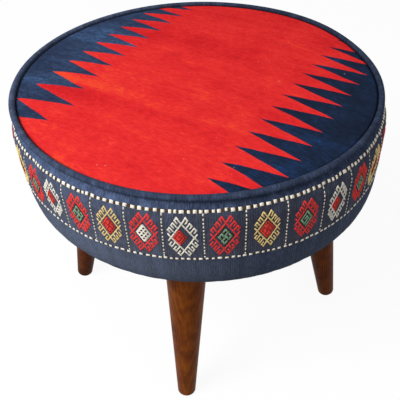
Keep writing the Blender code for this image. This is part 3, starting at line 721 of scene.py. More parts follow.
def band_profile(inset, draw_steps, side_steps, tuck_steps, turn_steps, thin=None):
    """Radii and heights down the band, lying inside its outer face by the inset.

    Where thin is given, the inset falls to it over the first two thirds of the tuck.
    """
    share = np.linspace(1, 0, draw_steps, endpoint=False)
    drawn = SIDE_RADIUS - RIM_RADIUS + SEAM_SETBACK
    lean = np.arctan(2 * drawn * share / DRAW_DEPTH)
    top = [
        SIDE_RADIUS - drawn * share**2 - inset * np.cos(lean),
        FULL_HEIGHT + DRAW_DEPTH * share - inset * np.sin(lean),
    ]
    level = np.linspace(FULL_HEIGHT, TUCK_HEIGHT, side_steps, endpoint=False)
    side = [np.full(side_steps, SIDE_RADIUS - inset), level]
    turn = np.linspace(0, math.pi / 2, tuck_steps, endpoint=False)
    lean = np.arctan2(TUCK_IN * np.sin(turn), TUCK_RISE * np.cos(turn))
    last = inset if thin is None else thin
    inset = inset + (last - inset) * np.clip(turn / (math.pi / 3), 0, 1)
    foot = [
        SIDE_RADIUS - TUCK_IN * (1 - np.cos(turn)) - inset * np.cos(lean),
        TUCK_HEIGHT - TUCK_RISE * np.sin(turn) + inset * np.sin(lean),
    ]
    under = [
        np.linspace(BOTTOM_EDGE, BOTTOM_EDGE - TURN_IN, turn_steps),
        np.full(turn_steps, UNDERSIDE + last),
    ]
    return np.concatenate([top, side, foot, under], axis=1)


def band_cover(finish):
    """The kilim strip: its profile carried round the seat, outer face, edge and inner face."""
    angle = round_the_seat(360) + STRIP_JOIN
    outer = band_profile(0, 14, 30, 14, 6)
    inner = band_profile(KILIM, 6, 6, 12, 3, DRAWN_THIN)[:, ::-1]
    radius, height = np.concatenate([outer, inner], axis=1)[:, :, None]
    points = polar(radius + band_unevenness(angle, height), angle, height)
    length = np.concatenate([[0], np.cumsum(np.hypot(*np.diff(np.concatenate([outer, inner], 1))))])
    length = np.append(length, length[-1] + KILIM)
    around = np.linspace(0, 2 * math.pi * SIDE_RADIUS, len(angle) + 1)
    uv = np.stack(np.broadcast_arrays(around, length[:, None]), -1)
    return grid_piece("band_cover_cloth", points, finish, (1, 1), ["band_cover"], uv)


def top_cover(finish):
    """The round kilim panel: its crown carried round the axis, upper face, edge and lower face."""
    angle = round_the_seat(240)
    outwards = np.linspace(0, 1, 60) ** 0.8 * TOP_RADIUS
    inwards = np.linspace(1, 0, 24) * TOP_RADIUS
    radius = np.concatenate([outwards, inwards])[:, None]
    upper = np.arange(len(radius))[:, None] < len(outwards)
    fade = np.clip((1 - radius / TOP_RADIUS) * 8, 0, 1) * np.clip(radius / 0.02, 0, 1)
    uneven = fade * ripples(angle, radius, 8, TOP_WAVES, seed=3)
    row = TOP_COUNT // 2 + radius * np.cos(angle) / TOP_STEP
    column = TOP_COUNT // 2 + radius * np.sin(angle) / TOP_STEP
    pressed = between(TOP_SWELL, row, column)
    height = TOP_EDGE + crowned(radius) + pressed + uneven - np.where(upper, 0, KILIM)
    points = polar(radius, angle, height)
    edge = np.broadcast_to(radius / TOP_RADIUS, points.shape[:-1])
    return grid_piece(
        "top_cover_cloth", points, finish, (0, 1), ["top_cover"],
        attributes={"edge": edge[None]},
    )


STRANDS = 3  # of the cord
CORD_TWIST = 140  # how often they turn, once round the rim
SEAM_TURN = math.radians(230)  # the seam's direction from the cord, down and inwards
WRAP_POINTS = 20  # of the sleeve's section, round the cord
WRAP_GAP = 0.12  # radians from the seam at which the sleeve leaves the cord
EDGE_GAPS = 0.05, 0.015  # and between its edges in the seam, at their outer and inner faces
CORD_PLAY = 0.0005  # between the cord and the sleeve


def rim_ring(name, turn, reach, finish, replaces, wobble=0.0, lobes=0.0):
    """A section, given by angles and distances from its middle, carried round the rim.

    Wobble is the share by which its thickness wanders, lobes the share by which the twisted
    strands stand out of the section.
    """
    angle = round_the_seat(480)
    turn, reach = turn[:, None], reach[:, None]
    thick = reach * (1 + ripples(angle, 0.0, 8, wobble, seed=9))
    thick = thick * (1 + lobes * np.cos(STRANDS * turn + CORD_TWIST * angle))
    wander = ripples(angle, 1.0, 7, wobble * PIPING_RADIUS, seed=13)
    radius = PIPING_CENTRE + wander + thick * np.cos(turn)
    points = polar(radius, angle, PIPING_HEIGHT + thick * np.sin(turn))
    length = np.linspace(0, 2 * math.pi * PIPING_CENTRE, len(angle) + 1)
    girth = np.append(turn, turn[-1] + turn[1] - turn[0])[:, None] * PIPING_RADIUS
    uv = np.stack(np.broadcast_arrays(length, girth), -1)
    return grid_piece(name, points, finish, (1, 1), replaces, uv)


def piping(sleeve_finish, cord_finish):
    """Bias cloth wrapped round a twisted cord, with both its edges running on into the seam."""
    once_round = SEAM_TURN + 2 * math.pi
    turn = np.linspace(SEAM_TURN + WRAP_GAP, once_round - WRAP_GAP, WRAP_POINTS)
    outer_gap, inner_gap = EDGE_GAPS
    outer_turn = np.concatenate([[SEAM_TURN + outer_gap], turn, [once_round - outer_gap]])
    inner_turn = np.concatenate([[once_round - inner_gap], turn[::-1], [SEAM_TURN + inner_gap]])
    reach = np.full((2, WRAP_POINTS + 2), PIPING_RADIUS + PIPING_FLANGE)
    reach[:, 1:-1] = [[PIPING_RADIUS], [PIPING_RADIUS - PIPING_CLOTH]]
    sleeve = rim_ring(
        "piping_sleeve_cloth",
        np.concatenate([outer_turn, inner_turn]),
        reach.ravel(),
        sleeve_finish, ["piping_sleeve"], wobble=0.05,
    )
    cord_radius = PIPING_RADIUS - PIPING_CLOTH - CORD_PLAY
    rim_ring(
        "piping_cord_cotton", round_the_seat(12), np.full(12, cord_radius),
        cord_finish, ["piping_cord"], lobes=0.07,
    )
    return sleeve


def turned_piece(name, profile, finish, replaces, closed=False):
    """A profile, a row of radii over a row of heights, carried round the seat's axis.

    A profile that isn't closed starts and ends on the axis. What lies outside the wooden frame
    is drawn in with the band.
    """
    radius, height = profile[:, :, None]
    angle = round_the_seat(120)
    outside = radius > WALL_RADIUS + 2 * WALL_MARGIN
    points = polar(radius - outside * drawn_in(angle, height), angle, height)
    return grid_piece(name, points, finish, (int(closed), 1), replaces)


# Padding: how far out each face runs under the top, and how far below the rim its side begins
WADDING_OUTSIDE = 0.2090, 0.013
WADDING_INSIDE = 0.2030, 0.019
FOAM_OUTSIDE = 0.2005, 0.021
FOAM_BASE = 0.21  # radius of the seat foam's underside
PADDING_RISE = 0.0160  # how far above the underside the padding ends
STRIP_RISE = 0.010  # and the foam strip above that
WAVE_ROOM = 0.0005  # for the covers' soft waves


def padding(wadding_finish, foam_finish):
    """What fills the covers: wadding all over, a foam seat on the deck and foam round the wall.

    Each profile follows the covers' own, further in by what lies outside it.
    """
    def side(inset, highest, lowest):
        wall = band_profile(inset, 10, 10, 10, 2)
        return wall[:, (wall[1] < highest) & (wall[1] > lowest)]

    def face(inset, reach_and_depth, lowest):
        reach, depth = reach_and_depth
        out = np.linspace(0, reach, 16)
        under_top = np.stack([out, TOP_EDGE + crowned(out) - inset])
        return np.concatenate([under_top, side(inset, RIM_TOP - depth, lowest)], axis=1)

    skin = KILIM + SPACE + BAND_CAP + WAVE_ROOM
    core = skin + WADDING + SPACE
    lowest = UNDERSIDE + PADDING_RISE
    inside = face(skin + WADDING, WADDING_INSIDE, lowest)[:, ::-1]
    wadding = np.concatenate([face(skin, WADDING_OUTSIDE, lowest), inside], axis=1)
    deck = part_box("deck_board")[1].z + SPACE
    base = np.stack([np.linspace(FOAM_BASE, 0, 12), np.full(12, deck)])
    seat = np.concatenate([face(core, FOAM_OUTSIDE, deck), base], axis=1)
    outer = side(core, deck - SPACE, lowest + STRIP_RISE)
    upwards = np.linspace(outer[1, -1], deck - SPACE, 8)
    along_wall = np.stack([np.full(8, WALL_RADIUS + WALL_MARGIN), upwards])
    strip = np.concatenate([outer, along_wall], axis=1)
    turned_piece("wadding_layer", wadding, wadding_finish, ["wadding"])
    turned_piece("seat_foam_pad", seat, foam_finish, ["seat_foam"])
    strip = turned_piece("side_foam_strip", strip, foam_finish, ["side_foam"], closed=True)


# The dust cover leaves the board this far inside the band's turned edge, and is down this far inside
DUST_STEP = 0.0071, 0.0041


def dust_cover(finish):
    """Thin cloth over the underside: flat under the base board, stepped down over the band's edge."""
    step_in, step_out = (BOTTOM_EDGE - TURN_IN - inside for inside in DUST_STEP)
    out = np.concatenate([
        np.linspace(0, step_in, 20),
        np.linspace(step_in, step_out, 6)[1:],
        np.linspace(step_out, DUST_RADIUS, 6)[1:],
    ])
    high, low = DUST_HIGH.z, UNDERSIDE - SPACE
    upper = np.interp(out, [0, step_in, step_out, DUST_RADIUS], [high, high, low, low])
    lower = upper - DUST_CLOTH
    profile = np.concatenate([np.stack([out, upper]), np.stack([out, lower])[:, ::-1]], axis=1)
    piece = turned_piece("dust_cover_cloth", profile, finish, ["dust_cover"])


# The brocaded band
LOZENGE_WIDE = 0.01125  # half of a lozenge's width and height, corner to corner
LOZENGE_TALL = 0.0180
HORN = 0.38  # how far its outline runs on past the top and bottom corners, in shares of a side
SIDE_HORN = 0.24  # and past the left and right ones
HOOK_BAR = 1 / 6
HOOK_RETURN = 0.70
PANELS_RIGHT = 23  # panels that follow each other to the right of the strip's join
PANELS_LEFT = 12
FIRST_PANEL = math.radians(-36.4)  # middle of the first panel right of the join
PANEL = math.radians(10.3)  # a panel's usual width
PANEL_SWING = math.radians(0.75)  # the weaver's panels grow and shrink by this much
PANEL_SWING_PERIOD = 9
JOINED_PANEL = math.radians(8.7)  # step over the join
UPPER_ROW = 0.0194  # depths below the rim
LOWER_ROW = 0.0828
ROW_TILT = 0.0012  # the upper row climbs towards the right


def panel_middles():
    """Angles of the panels' middles, and their numbers, counted from the strip's join."""
    right = np.arange(PANELS_RIGHT)
    step = PANEL - PANEL_SWING * np.cos(2 * math.pi * (right - 1.5) / PANEL_SWING_PERIOD)
    to_right = FIRST_PANEL + np.cumsum(step) - step
    left = np.arange(PANELS_LEFT)
    to_left = FIRST_PANEL - JOINED_PANEL - left * PANEL
    return np.concatenate([to_left[::-1], to_right]), np.concatenate([-1 - left[::-1], right])


def upper_row_height(angle):
    """Height of the upper row of dashes."""
    return RIM_TOP - UPPER_ROW + ROW_TILT * np.sin(angle - CAMERA_AZIMUTH)


LOWER_ROW_HEIGHT = RIM_TOP - LOWER_ROW


def all_four_sides(lines):
    """Lines of one side of a lozenge, in shares of its sides, with their mirror images."""
    lines = np.asarray(lines, float)
    return np.concatenate([lines, lines[..., ::-1], -lines, -lines[..., ::-1]])


def chain(*places):
    """Line segments from place to place."""
    return [[a, b] for a, b in zip(places[:-1], places[1:])]


def lozenge_outline():
    """The outline's long lines, which cross at the corners and run on as horns, short at the sides."""
    long, short = 0.5 + HORN, 0.5 + SIDE_HORN
    upper_left = [[-short, 0.5], [long, 0.5]]
    lower_left = [[-0.5, -long], [-0.5, short]]
    left = np.array([upper_left, lower_left])
    return np.concatenate([left, left[..., ::-1]])


def lozenge_hooks():
    """Three hooks outside each side: a stem, a bar along the side and a return."""
    outer = 0.5 + HORN
    lines = []
    for stem in (0.5, 1 / 6, -1 / 6):
        lines += chain((stem, 0.5), (stem, outer), (stem - HOOK_BAR, outer), (stem - HOOK_BAR, HOOK_RETURN))
    return all_four_sides(lines)


def centre_figure(kind):
    """Lines in a lozenge's middle, in shares of the middle's sides: dots, a spiral or a fret.

    The fret is one hooked arm and its three quarter turns.
    """
    if kind == "dotted":
        steps = (-0.3, 0, 0.3)
        return np.array([[[p - 0.01, q], [p + 0.01, q]] for p in steps for q in steps])
    if kind == "spiral":
        turns = ((-0.42, -0.42), (0.42, -0.42), (0.42, 0.42), (-0.42, 0.42), (-0.42, -0.14))
        return np.array(chain(*turns, (0.14, -0.14), (0.14, 0.14), (-0.12, 0.14)))
    arm = np.array(chain((0.03, 0.08), (0.42, 0.08), (0.42, 0.42), (0.16, 0.42)))
    turned = np.stack([-arm[..., 1], arm[..., 0]], -1)
    return np.concatenate([arm, turned, -arm, -turned])


# Section of a float: how far across, in half widths, and how far up, in shares of its lift
FLOAT_SECTION = np.array([
    [-1, -0.4], [-1, 0.35], [-0.62, 0.85], [0, 1], [0.62, 0.85], [1, 0.35], [1, -0.4],
])
FLOAT_GIRTH = 2.4  # once round it, in widths


class Yarns:
    """Floats of yarn on the band, gathered by colour until they are laid."""

    def __init__(self):
        self.lines = {}

    def add(self, hue, lines, width, lift, shade=0.4, steps=3, past=0.5):
        """Lines are start and end, each an arc length from the front and a height.

        Past is how far a float reaches past its line's ends, in shares of its width.
        """
        self.lines.setdefault((hue, steps), []).append(
            (np.asarray(lines, float), width, lift, shade, past)
        )

    def lay(self, hue, finish):
        """All floats of one colour as one piece.

        A float is a low rounded bar: a section of seven points carried along its line, drawn to
        a point at both ends.
        """
        pieces = []
        for (of_hue, steps), groups in self.lines.items():
            if of_hue != hue:
                continue
            lines = np.concatenate([g[0].reshape(-1, 2, 2) for g in groups])
            counts = [g[0].size // 4 for g in groups]
            width, lift, shade, past = (
                np.concatenate([np.broadcast_to(g[k], n) for g, n in zip(groups, counts)])
                for k in (1, 2, 3, 4)
            )
            past = past * width
            start, end = lines[:, 0], lines[:, 1]
            length = np.linalg.norm(end - start, axis=1)[:, None]
            ahead = (end - start) / length
            sideways = np.stack([-ahead[:, 1], ahead[:, 0]], 1)
            reach = length[:, 0] + 2 * past
            stations = np.concatenate([[0.0], np.linspace(0, 1, steps), [1.0]])
            full = np.ones(steps + 2)
            full[[0, -1]] = 0.0
            along = stations * reach[:, None] - past[:, None]
            flat = start[:, None, None] + ahead[:, None, None] * along[:, :, None, None]
            across = FLOAT_SECTION[:, 0] * width[:, None, None] / 2 * full[:, None]
            flat = flat + sideways[:, None, None] * across[..., None]
            tall = (FLOAT_SECTION[:, 1] * full[:, None]) * lift[:, None, None]
            points = on_band(flat[..., 0], flat[..., 1], tall)
            girth = np.linspace(0, 1, len(FLOAT_SECTION) + 1) * width[:, None] * FLOAT_GIRTH
            uv = np.stack(np.broadcast_arrays(along[:, :, None], girth[:, None, :]), -1)
            tint = np.broadcast_to(shade[:, None, None], points.shape[:-1])
            pieces.append(
                grid_piece(f"brocade_{hue}_{steps}", points, finish, (0, 1), (), uv, {"shade": tint})
            )
        return pieces


# Colours of the lozenges, as they follow each other along the strip
OUTLINES = ("ivory", "red", "gold", "red")
CENTRES = (
    ("red", "spiral"),
    ("green", "fret"),
    ("red", "fret"),
    ("ivory", "dotted"),
    ("red", "spiral"),
    ("green", "fret"),
    ("red", "fret"),
    ("green", "spiral"),
)
CENTRE_SIZES = {"ivory": 0.55, "gold": 0.64, "red": 0.66}  # of the middle, by the outline's colour
LINE_WIDTHS = {"ivory": 0.0016, "gold": 0.0015, "red": 0.0019}
YARN_LIFT = 0.0006  # how far a lozenge's yarn stands up
FILL_WIDTH = 0.0018  # of the floats that fill its middle
GREEN_WIDTH = 0.0023  # of the yarn in a green figure
DOT_WIDTH = 0.0022
THIN_WIDTH = 0.0009  # of the brown lines in and round the middle
DARK = 0.1  # shade of the brown there
BELOW_MIDDLE = 0.0005  # lozenges lie this far below the middle between the rows
IVORY_ASIDE = 0.003  # and the ivory ones' fillings this far to the left
DASH_LIFT = 0.0007
LINE_LIFT = 0.00025  # of the brown lines under the dashes and dividers
STITCHES = 13  # in a divider
STITCH_LIFT = 0.0005
STITCH_WIDTH = 0.0014
STITCH_HALF = 0.0006  # half of its height
DIVIDER_GAP = 0.0035  # between its stitches and the rows of dashes


def lozenge_lines(lines, middle_along, middle_height, size, skew):
    """Lines in shares of a lozenge's sides, as arc lengths and heights on the band."""
    sideways = LOZENGE_WIDE * (lines[..., 0] - lines[..., 1])
    upwards = LOZENGE_TALL * (lines[..., 0] + lines[..., 1])
    return np.stack([middle_along + size * (sideways + skew * upwards), middle_height + size * upwards], -1)


def work_lozenge(yarns, number, angle):
    """One lozenge: its outline with horns and hooks, its filled middle and the figure on it."""
    outline = OUTLINES[number % len(OUTLINES)]
    filling, figure = CENTRES[number % len(CENTRES)]
    along = angle * SIDE_RADIUS
    height = (upper_row_height(angle) + LOWER_ROW_HEIGHT) / 2 - BELOW_MIDDLE
    height = height + chance.normal(0, 0.0008)
    place = (along, height, chance.uniform(0.94, 1.05), chance.uniform(-0.05, 0.09))
    width = LINE_WIDTHS[outline] * chance.uniform(0.95, 1.05)
    shade = chance.uniform(0.25, 0.6)
    yarns.add(outline, lozenge_lines(lozenge_outline(), *place), width, YARN_LIFT, shade, steps=9)
    yarns.add(outline, lozenge_lines(lozenge_hooks(), *place), width, YARN_LIFT, shade)
    # The middle is filled with level floats, each as long as the lozenge is wide there
    reach = CENTRE_SIZES[outline]
    tall, wide = LOZENGE_TALL * reach, LOZENGE_WIDE * reach
    level = np.linspace(-0.94, 0.94, 15) * tall
    half = wide * (1 - np.abs(level) / tall)
    middle = along - (IVORY_ASIDE if outline == "ivory" else 0.0)
    floats = np.stack(
        [np.stack([middle - half, height + level], -1), np.stack([middle + half, height + level], -1)], 1
    )
    hank = chance.uniform(0.3, 0.7)
    lines = lozenge_lines(centre_figure(figure) * reach, middle, height, 1.0, place[3])
    if filling == "green":
        yarns.add("brown", floats, FILL_WIDTH, YARN_LIFT * 0.8, DARK)
        yarns.add("green", lines, GREEN_WIDTH, YARN_LIFT * 1.3, hank)
    else:
        yarns.add(filling, floats, FILL_WIDTH, YARN_LIFT * 0.8, hank)
        figure_width = DOT_WIDTH if figure == "dotted" else THIN_WIDTH
        yarns.add("brown", lines, figure_width, YARN_LIFT * 1.2, DARK)
    border = chain((-0.5, -0.5), (0.5, -0.5), (0.5, 0.5), (-0.5, 0.5), (-0.5, -0.5))
    border = lozenge_lines(np.array(border) * (reach + 0.07), middle, height, 1.0, 0.0)
    yarns.add("brown", border, THIN_WIDTH, YARN_LIFT * 0.6, DARK, steps=5)


def work_dashes(yarns, row_height, shortest, longest, tall):
    """A row of ivory dashes round the seat, uneven in length, over a flat brown line.

    Shortest and longest are the limits of a dash with the gap after it.
    """
    girth = 2 * math.pi * SIDE_RADIUS
    pitch = chance.uniform(shortest, longest, int(girth / shortest) + 1)
    starts = np.cumsum(pitch) - pitch
    starts = starts[starts < girth - shortest]
    pitch = pitch[: len(starts)] * (girth / (starts[-1] + pitch[len(starts) - 1]))
    starts = np.cumsum(pitch) - pitch
    ends = starts + pitch * chance.uniform(0.44, 0.62, len(pitch))
    line = np.stack([starts, ends], 1) + STRIP_JOIN * SIDE_RADIUS
    height = row_height(line / SIDE_RADIUS) + chance.normal(0, 0.00025, len(pitch))[:, None]
    shade = chance.uniform(0.45, 0.9, len(pitch))
    height_of_each = tall * chance.uniform(0.86, 1.1, len(pitch))
    yarns.add("ivory", np.stack([line, height], -1), height_of_each, DASH_LIFT, shade, past=0.0)
    edge = np.linspace(0, girth, 181)
    base = np.stack([np.stack([edge[:-1], row_height(edge[:-1] / SIDE_RADIUS)], -1),
                     np.stack([edge[1:], row_height(edge[1:] / SIDE_RADIUS)], -1)], 1)
    yarns.add("brown", base, tall * 0.85, LINE_LIFT, 0.6)


def work_divider(yarns, angle):
    """A column of small ivory stitches over a brown line, from the upper row to the lower."""
    top, bottom = upper_row_height(angle) - DIVIDER_GAP, LOWER_ROW_HEIGHT + DIVIDER_GAP
    lean = chance.uniform(-0.0012, 0.0004)
    height = np.linspace(top, bottom, STITCHES) + chance.normal(0, 0.0003, STITCHES)
    middle = angle * SIDE_RADIUS
    along = middle + lean * np.linspace(0, 1, STITCHES)
    upper = np.stack([along, height + STITCH_HALF], -1)
    lower = np.stack([along, height - STITCH_HALF], -1)
    shade = chance.uniform(0.0, 0.35, STITCHES)
    yarns.add("ivory", np.stack([upper, lower], 1), STITCH_WIDTH, STITCH_LIFT, shade)
    base = [[[middle, top + DIVIDER_GAP], [middle + lean, bottom - DIVIDER_GAP]]]
    yarns.add("brown", base, STITCH_WIDTH, LINE_LIFT, 0.5, steps=9)


def brocade(finishes):
    """All the yarn on the band, one piece for each colour and kind of line."""
    yarns = Yarns()
    middles, numbers = panel_middles()
    for angle, number in zip(middles, numbers):
        work_lozenge(yarns, int(number), angle)
    following = np.roll(middles, -1)
    following[-1] += 2 * math.pi
    for angle, number in zip((middles + following) / 2, numbers):
        if number != -1:
            work_divider(yarns, angle)
    work_dashes(yarns, upper_row_height, 0.0050, 0.0084, 0.0032)
    work_dashes(yarns, lambda angle: LOWER_ROW_HEIGHT + 0 * angle, 0.0054, 0.0078, 0.0027)
    pieces = []
    for hue, finish in finishes.items():
        pieces += yarns.lay(hue, finish)
    return pieces


# Legs
LEG_PLACES = {"front": 0, "right": 90, "back": 180, "left": 270}
# How much painted shade darkens each leg, for the seat's shade on the sides and back
LEG_SHADES = {"front": 0.0, "right": 0.10, "back": 0.05, "left": 0.17}
SPLAY = math.radians(11.2)
LEG_TOP_RADIUS = 0.0275
FOOT_RADIUS = 0.0125
FOOT_ROUNDING = 0.005
FOOT_TRIM = 0.0016
TOP_CHAMFER = 0.0015
BORE_RADIUS = 0.0043  # of the hole for the hanger bolt
BORE_DEPTH = 0.0305
LEG_CIRCLE = 0.1563  # radius on which the legs' axes meet the underside
LEG_PLATE = 0.0025  # thickness of the steel plate above the leg
PLATE_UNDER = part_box("front_leg_plate")[1].z - LEG_PLATE
LEG_TOP = PLATE_UNDER - SPACE - (LEG_TOP_RADIUS - TOP_CHAMFER) * math.sin(SPLAY)


def leg(place, degrees, finish):
    """A turned leg: a straight taper with a bored, eased top and a rounded foot, trimmed level.

    Its profile is carried round its own axis, which leans outwards from the seat. What would
    reach below the floor is pressed up to it.
    """
    length = (LEG_TOP + FOOT_TRIM) / math.cos(SPLAY)
    down = np.linspace(0, 1, 60)
    taper = LEG_TOP_RADIUS + (FOOT_RADIUS - LEG_TOP_RADIUS) * down
    turn = np.linspace(0, math.pi / 2, 10)
    radius = np.concatenate([
        [0, BORE_RADIUS, BORE_RADIUS, 0.6 * LEG_TOP_RADIUS],
        LEG_TOP_RADIUS - TOP_CHAMFER * (1 - np.sin(turn)),
        taper[1:-1],
        FOOT_RADIUS - FOOT_ROUNDING * (1 - np.cos(turn)),
        [0.3 * FOOT_RADIUS, 0],
    ])[:, None]
    below = np.concatenate([
        [BORE_DEPTH, BORE_DEPTH, 0, 0],
        TOP_CHAMFER * (1 - np.cos(turn)),
        TOP_CHAMFER + (length - TOP_CHAMFER - FOOT_ROUNDING) * down[1:-1],
        length - FOOT_ROUNDING * (1 - np.sin(turn)),
        [length, length],
    ])[:, None]
    around = round_the_seat(72)
    local = np.stack(np.broadcast_arrays(radius * np.cos(around), radius * np.sin(around), -below), -1)
    at_top = LEG_CIRCLE + (UNDERSIDE - LEG_TOP) * math.tan(SPLAY)
    outward = math.radians(degrees) - math.pi / 2
    turned = Matrix.Rotation(outward, 3, "Z") @ Matrix.Rotation(-SPLAY, 3, "Y")
    top = Vector((at_top * math.cos(outward), at_top * math.sin(outward), LEG_TOP))
    points = local @ np.array(turned).T + np.array(top)
    points[..., 2] = np.maximum(points[..., 2], 0)
    # Each leg was cut from the plank another way round, some way from the tree's middle
    spun = np.array(Matrix.Rotation(GRAIN_SPIN * math.radians(degrees), 3, "Z"))
    grain = local @ spun.T + np.array([*PITH, GRAIN_SHIFT * degrees / 90])
    # Painted shade for this leg
    leg_shade = np.full(points.shape[:-1], LEG_SHADES[place])
    return grid_piece(
        place + "_leg_turned", points, finish, (0, 1), [place + "_leg"],
        attributes={"grain": grain[None], "leg_shade": leg_shade[None]},
    )


STAPLES = 56
STAPLE_HALF = 0.005  # half of a staple's length
STAPLE_WIRE = 0.0004  # half of its wire's thickness
STAPLE_IN = 0.006  # from the edge of the dust cover
STAPLE_BELOW = 0.0005  # its middle, under the cloth


def staples(finish):
    """Wire staples through the dust cover's turned edge: small bars lying round the underside."""
    angle = round_the_seat(STAPLES) + 0.03 * chance.uniform(-1, 1, STAPLES)
    radius = DUST_RADIUS - STAPLE_IN + chance.uniform(-0.001, 0.001, STAPLES)
    tilt = chance.uniform(-0.15, 0.15, STAPLES)
    half = np.array([-1, -1, -1, 1, 1, 1])[:, None] * np.array([1, 1, 0.94, 0.94, 1, 1])[:, None]
    size = np.array([0, 1, 1, 1, 1, 0])[:, None]
    section = np.array([[-1, -1], [1, -1], [1, 1], [-1, 1]]) * STAPLE_WIRE
    across = section[:, 0] * size
    down = section[:, 1] * size
    along = STAPLE_HALF * half
    shape = (STAPLES, len(half), len(section))
    sideways = np.broadcast_to(along[None], shape) * np.cos(tilt)[:, None, None]
    outward = np.broadcast_to(across[None], shape) + along[None] * np.sin(tilt)[:, None, None]
    spread = radius[:, None, None] + outward
    turn = angle[:, None, None] + sideways / spread
    points = polar(spread, turn, np.broadcast_to(DUST_LOW.z - STAPLE_BELOW + down[None], shape))
    return grid_piece("underside_staples", points, finish, (0, 1))


def dress_frame(finishes):
    """Finishes for the solids that stay as they are."""
    kinds = {
        "plate": "zinc", "screw": "zinc", "bolt": "zinc",
        "post": "pine", "board": "ply", "wall": "ply",
    }
    for name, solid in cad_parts.items():
        kind = next((finishes[k] for word, k in kinds.items() if word in name), None)
        if kind:
            solid.data.materials.clear()
            solid.data.materials.append(kind)


FLOOR_HALF = 6.0  # half of the floor's side
FLOOR_WHITE = 0.93  # share of plain white in the floor that is seen
FLOOR_PAPER = 0.3  # how much light the floor throws back at the stool
WORLD_LIGHT = 0.32  # strength of the world's light on it


def floor_and_backdrop():
    """A wide white floor that keeps a faint shadow, and a white world.

    What the camera, a reflection or a see-through piece meets is mostly plain white, so the
    ground stays white with no more light on the stool.
    """
    def seen(tree):
        """1 for what the camera, a reflection or a see-through piece meets, else 0."""
        path = node(tree, "ShaderNodeLightPath").node.outputs
        rays = {0: path["Is Camera Ray"], 1: path["Is Glossy Ray"]}
        rays = {0: node(tree, MATH, rays, operation="MAXIMUM"), 1: path["Is Transmission Ray"]}
        return node(tree, MATH, rays, operation="MAXIMUM")

    mesh = bpy.data.meshes.new("studio_floor")
    corners = [(x * FLOOR_HALF, y * FLOOR_HALF, 0) for x, y in ((-1, -1), (1, -1), (1, 1), (-1, 1))]
    mesh.from_pydata(corners, [], [(0, 1, 2, 3)])
    floor = bpy.data.objects.new("studio_floor", mesh)
    bpy.context.scene.collection.objects.link(floor)
    made, tree, shader = material("white_paper_floor", 0.9, specular=0.0)
    shows = seen(tree)
    share = node(tree, MATH, {0: shows, 1: FLOOR_WHITE}, operation="MULTIPLY")
    paper = node(tree, RANGE, {0: shows, 3: FLOOR_PAPER, 4: 1.0})
    tree.links.new(paper, shader.inputs["Base Color"])
    white = node(tree, "ShaderNodeEmission", {"Color": (1, 1, 1, 1), "Strength": 1.0})
    mixed = node(tree, "ShaderNodeMixShader", {0: share, 1: shader.outputs[0], 2: white})
    tree.links.new(mixed, tree.nodes["Material Output"].inputs[0])
    mesh.materials.append(made)

    world = bpy.data.worlds.new("soft_studio")
    world.use_nodes = True
    bpy.context.scene.world = world
    tree = world.node_tree
    strength = node(tree, RANGE, {0: seen(tree), 3: WORLD_LIGHT, 4: 1.0})
    shader = tree.nodes["Background"]
    shader.inputs["Color"].default_value = (1, 1, 1, 1)
    tree.links.new(strength, shader.inputs["Strength"])


def lamp(name, place, size, power):
    """A soft square lamp that faces the seat."""
    light = bpy.data.lights.new(name, "AREA")
    light.size = size
    light.energy = power
    made = bpy.data.objects.new(name, light)
    bpy.context.scene.collection.objects.link(made)
    made.location = place
    aim = Vector(LAMPS_FACE) - Vector(place)
    made.rotation_euler = aim.to_track_quat("-Z", "Y").to_euler()


def camera():
    """The photograph's view: a point in front of the stool, above it, slightly rolled."""
    data = bpy.data.cameras.new("camera")
    data.lens = CAMERA_LENS
    data.clip_start = 0.01
    made = bpy.data.objects.new("camera", data)
    bpy.context.scene.collection.objects.link(made)
    tilt = Matrix.Rotation(math.pi / 2 - CAMERA_ELEVATION, 4, "X")
    turn = Matrix.Rotation(CAMERA_AZIMUTH, 4, "Z") @ tilt
    back = turn @ Vector((0, 0, CAMERA_DISTANCE))
    roll = Matrix.Rotation(CAMERA_ROLL, 4, "Z")
    made.matrix_world = Matrix.Translation(CAMERA_TARGET + back) @ turn @ roll
    bpy.context.scene.camera = made
    bpy.context.scene.view_settings.view_transform = "Standard"


# The indigo dye of the band, from dark to pale, and how pale it is along the strip from its join:
# dye lots, with painted light at the left, where the key lamp falls, and painted shade at the right
BAND_DYE = [(0.38, "1F2A42"), (0.53, "313B52"), (0.64, "414C65"), (0.77, "546587")]
BAND_LOTS_AND_LIGHT = [
    (0, 0.96), (0.06, 0.92), (0.10, 0.76), (0.14, 0.52), (0.18, 0.34), (0.21, 0.38), (0.25, 0.48),
    (0.34, 0.46), (0.50, 0.42), (0.75, 0.58), (0.90, 0.84), (1, 0.96),
]
SLOPE_MORE = 0.0015  # from its upper edge to the upper row the cloth is this much longer than high
PANEL_TOP = BAND_TOP - RIM_TOP + UPPER_ROW + SLOPE_MORE
PANELS = (PANEL_TOP, PANEL_TOP + LOWER_ROW - UPPER_ROW)  # the ground between the rows of dashes
# And of the piping, along it from the front: paler with painted light at the left and back-left,
# darker with painted shade at the right and back
PIPING_DYE = [(0.38, "242C3E"), (0.54, "333D54"), (0.65, "414D68"), (0.78, "566481")]
PIPING_LIGHT_AND_SHADE = [
    (0, 0.45), (0.12, 0.40), (0.25, 0.12), (0.40, 0.08), (0.50, 0.40), (0.60, 0.85), (0.78, 0.85),
    (0.90, 0.5), (1, 0.45),
]
INNER_SIDE = (0.0310, 0.0345)  # of the piping, beside the top, along its girth, where shade in the seam is painted in
INDIGO_WEFT = 0.0016  # spacing of the rows of yarn in both
BAND_WARP, PIPING_WARP = 0.0026, 0.0020  # and of the ribs
GIRTH = 2 * math.pi * SIDE_RADIUS

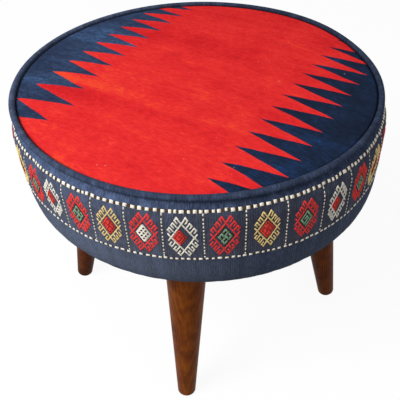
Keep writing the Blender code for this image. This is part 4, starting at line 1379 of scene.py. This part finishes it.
camera()
floor_and_backdrop()
lamp("key_left", (-1.9, -1.3, 2.3), 1.5, 92)
lamp("fill_front", (1.3, -2.2, 1.8), 1.8, 19)

top = top_cover(tapestry_wool())
band = band_cover(
    indigo_wool("indigo_flatweave", BAND_DYE, INDIGO_WEFT, BAND_WARP, GIRTH, BAND_LOTS_AND_LIGHT, shot=PANELS)
)
piping(
    indigo_wool(
        "bias_cut_indigo_cloth", PIPING_DYE, INDIGO_WEFT, PIPING_WARP, GIRTH, PIPING_LIGHT_AND_SHADE, INNER_SIDE
    ),
    plain_finish("twisted_cotton", [(0.3, "C9C0AA"), (0.7, "E4DDCB")], (0.001, 0.001, 0.001), 0.9),
)
padding(
    plain_finish("polyester_wadding", [(0.3, "DCDBD6"), (0.7, "F2F1EC")], (0.004, 0.004, 0.004), 1.0),
    plain_finish("polyurethane_foam", [(0.3, "D9C58C"), (0.7, "EBDCAB")], (0.0012, 0.0012, 0.0012), 1.0),
)
dust_cover(
    plain_finish("nonwoven_dust_cloth", [(0.3, "141416"), (0.7, "26262A")], (0.002, 0.002, 0.002), 0.9)
)
yarn_pieces = brocade({
    "ivory": brocade_yarn("ivory_wool_brocade", "D9D2C0", "F4EFE3"),
    "red": brocade_yarn("madder_wool_brocade", "C82637", "EB4A3F"),
    "gold": brocade_yarn("gold_wool_brocade", "DBB76D", "F3DE9E"),
    "green": brocade_yarn("sage_wool_brocade", "4F8A78", "93AA8C"),
    "brown": brocade_yarn("dark_brown_wool_brocade", "241C1B", "54402F"),
})
walnut = stained_wood()
for place, degrees in LEG_PLACES.items():
    leg(place, degrees, walnut)
zinc = plain_finish(
    "zinc_plated_steel", [(0.3, "A9AAA8"), (0.7, "C6C7C4")], (0.004, 0.004, 0.004), 0.36,
    metallic=1.0, bump=0.05,
)
staples(zinc)
dress_frame({
    "zinc": zinc,
    "pine": plain_finish("sawn_pine", [(0.3, "C79F68"), (0.7, "E0C08D")], (0.003, 0.003, 0.05), 0.7),
    "ply": plain_finish("birch_plywood", [(0.3, "BE9A66"), (0.7, "D8B888")], (0.05, 0.004, 0.002), 0.65),
})
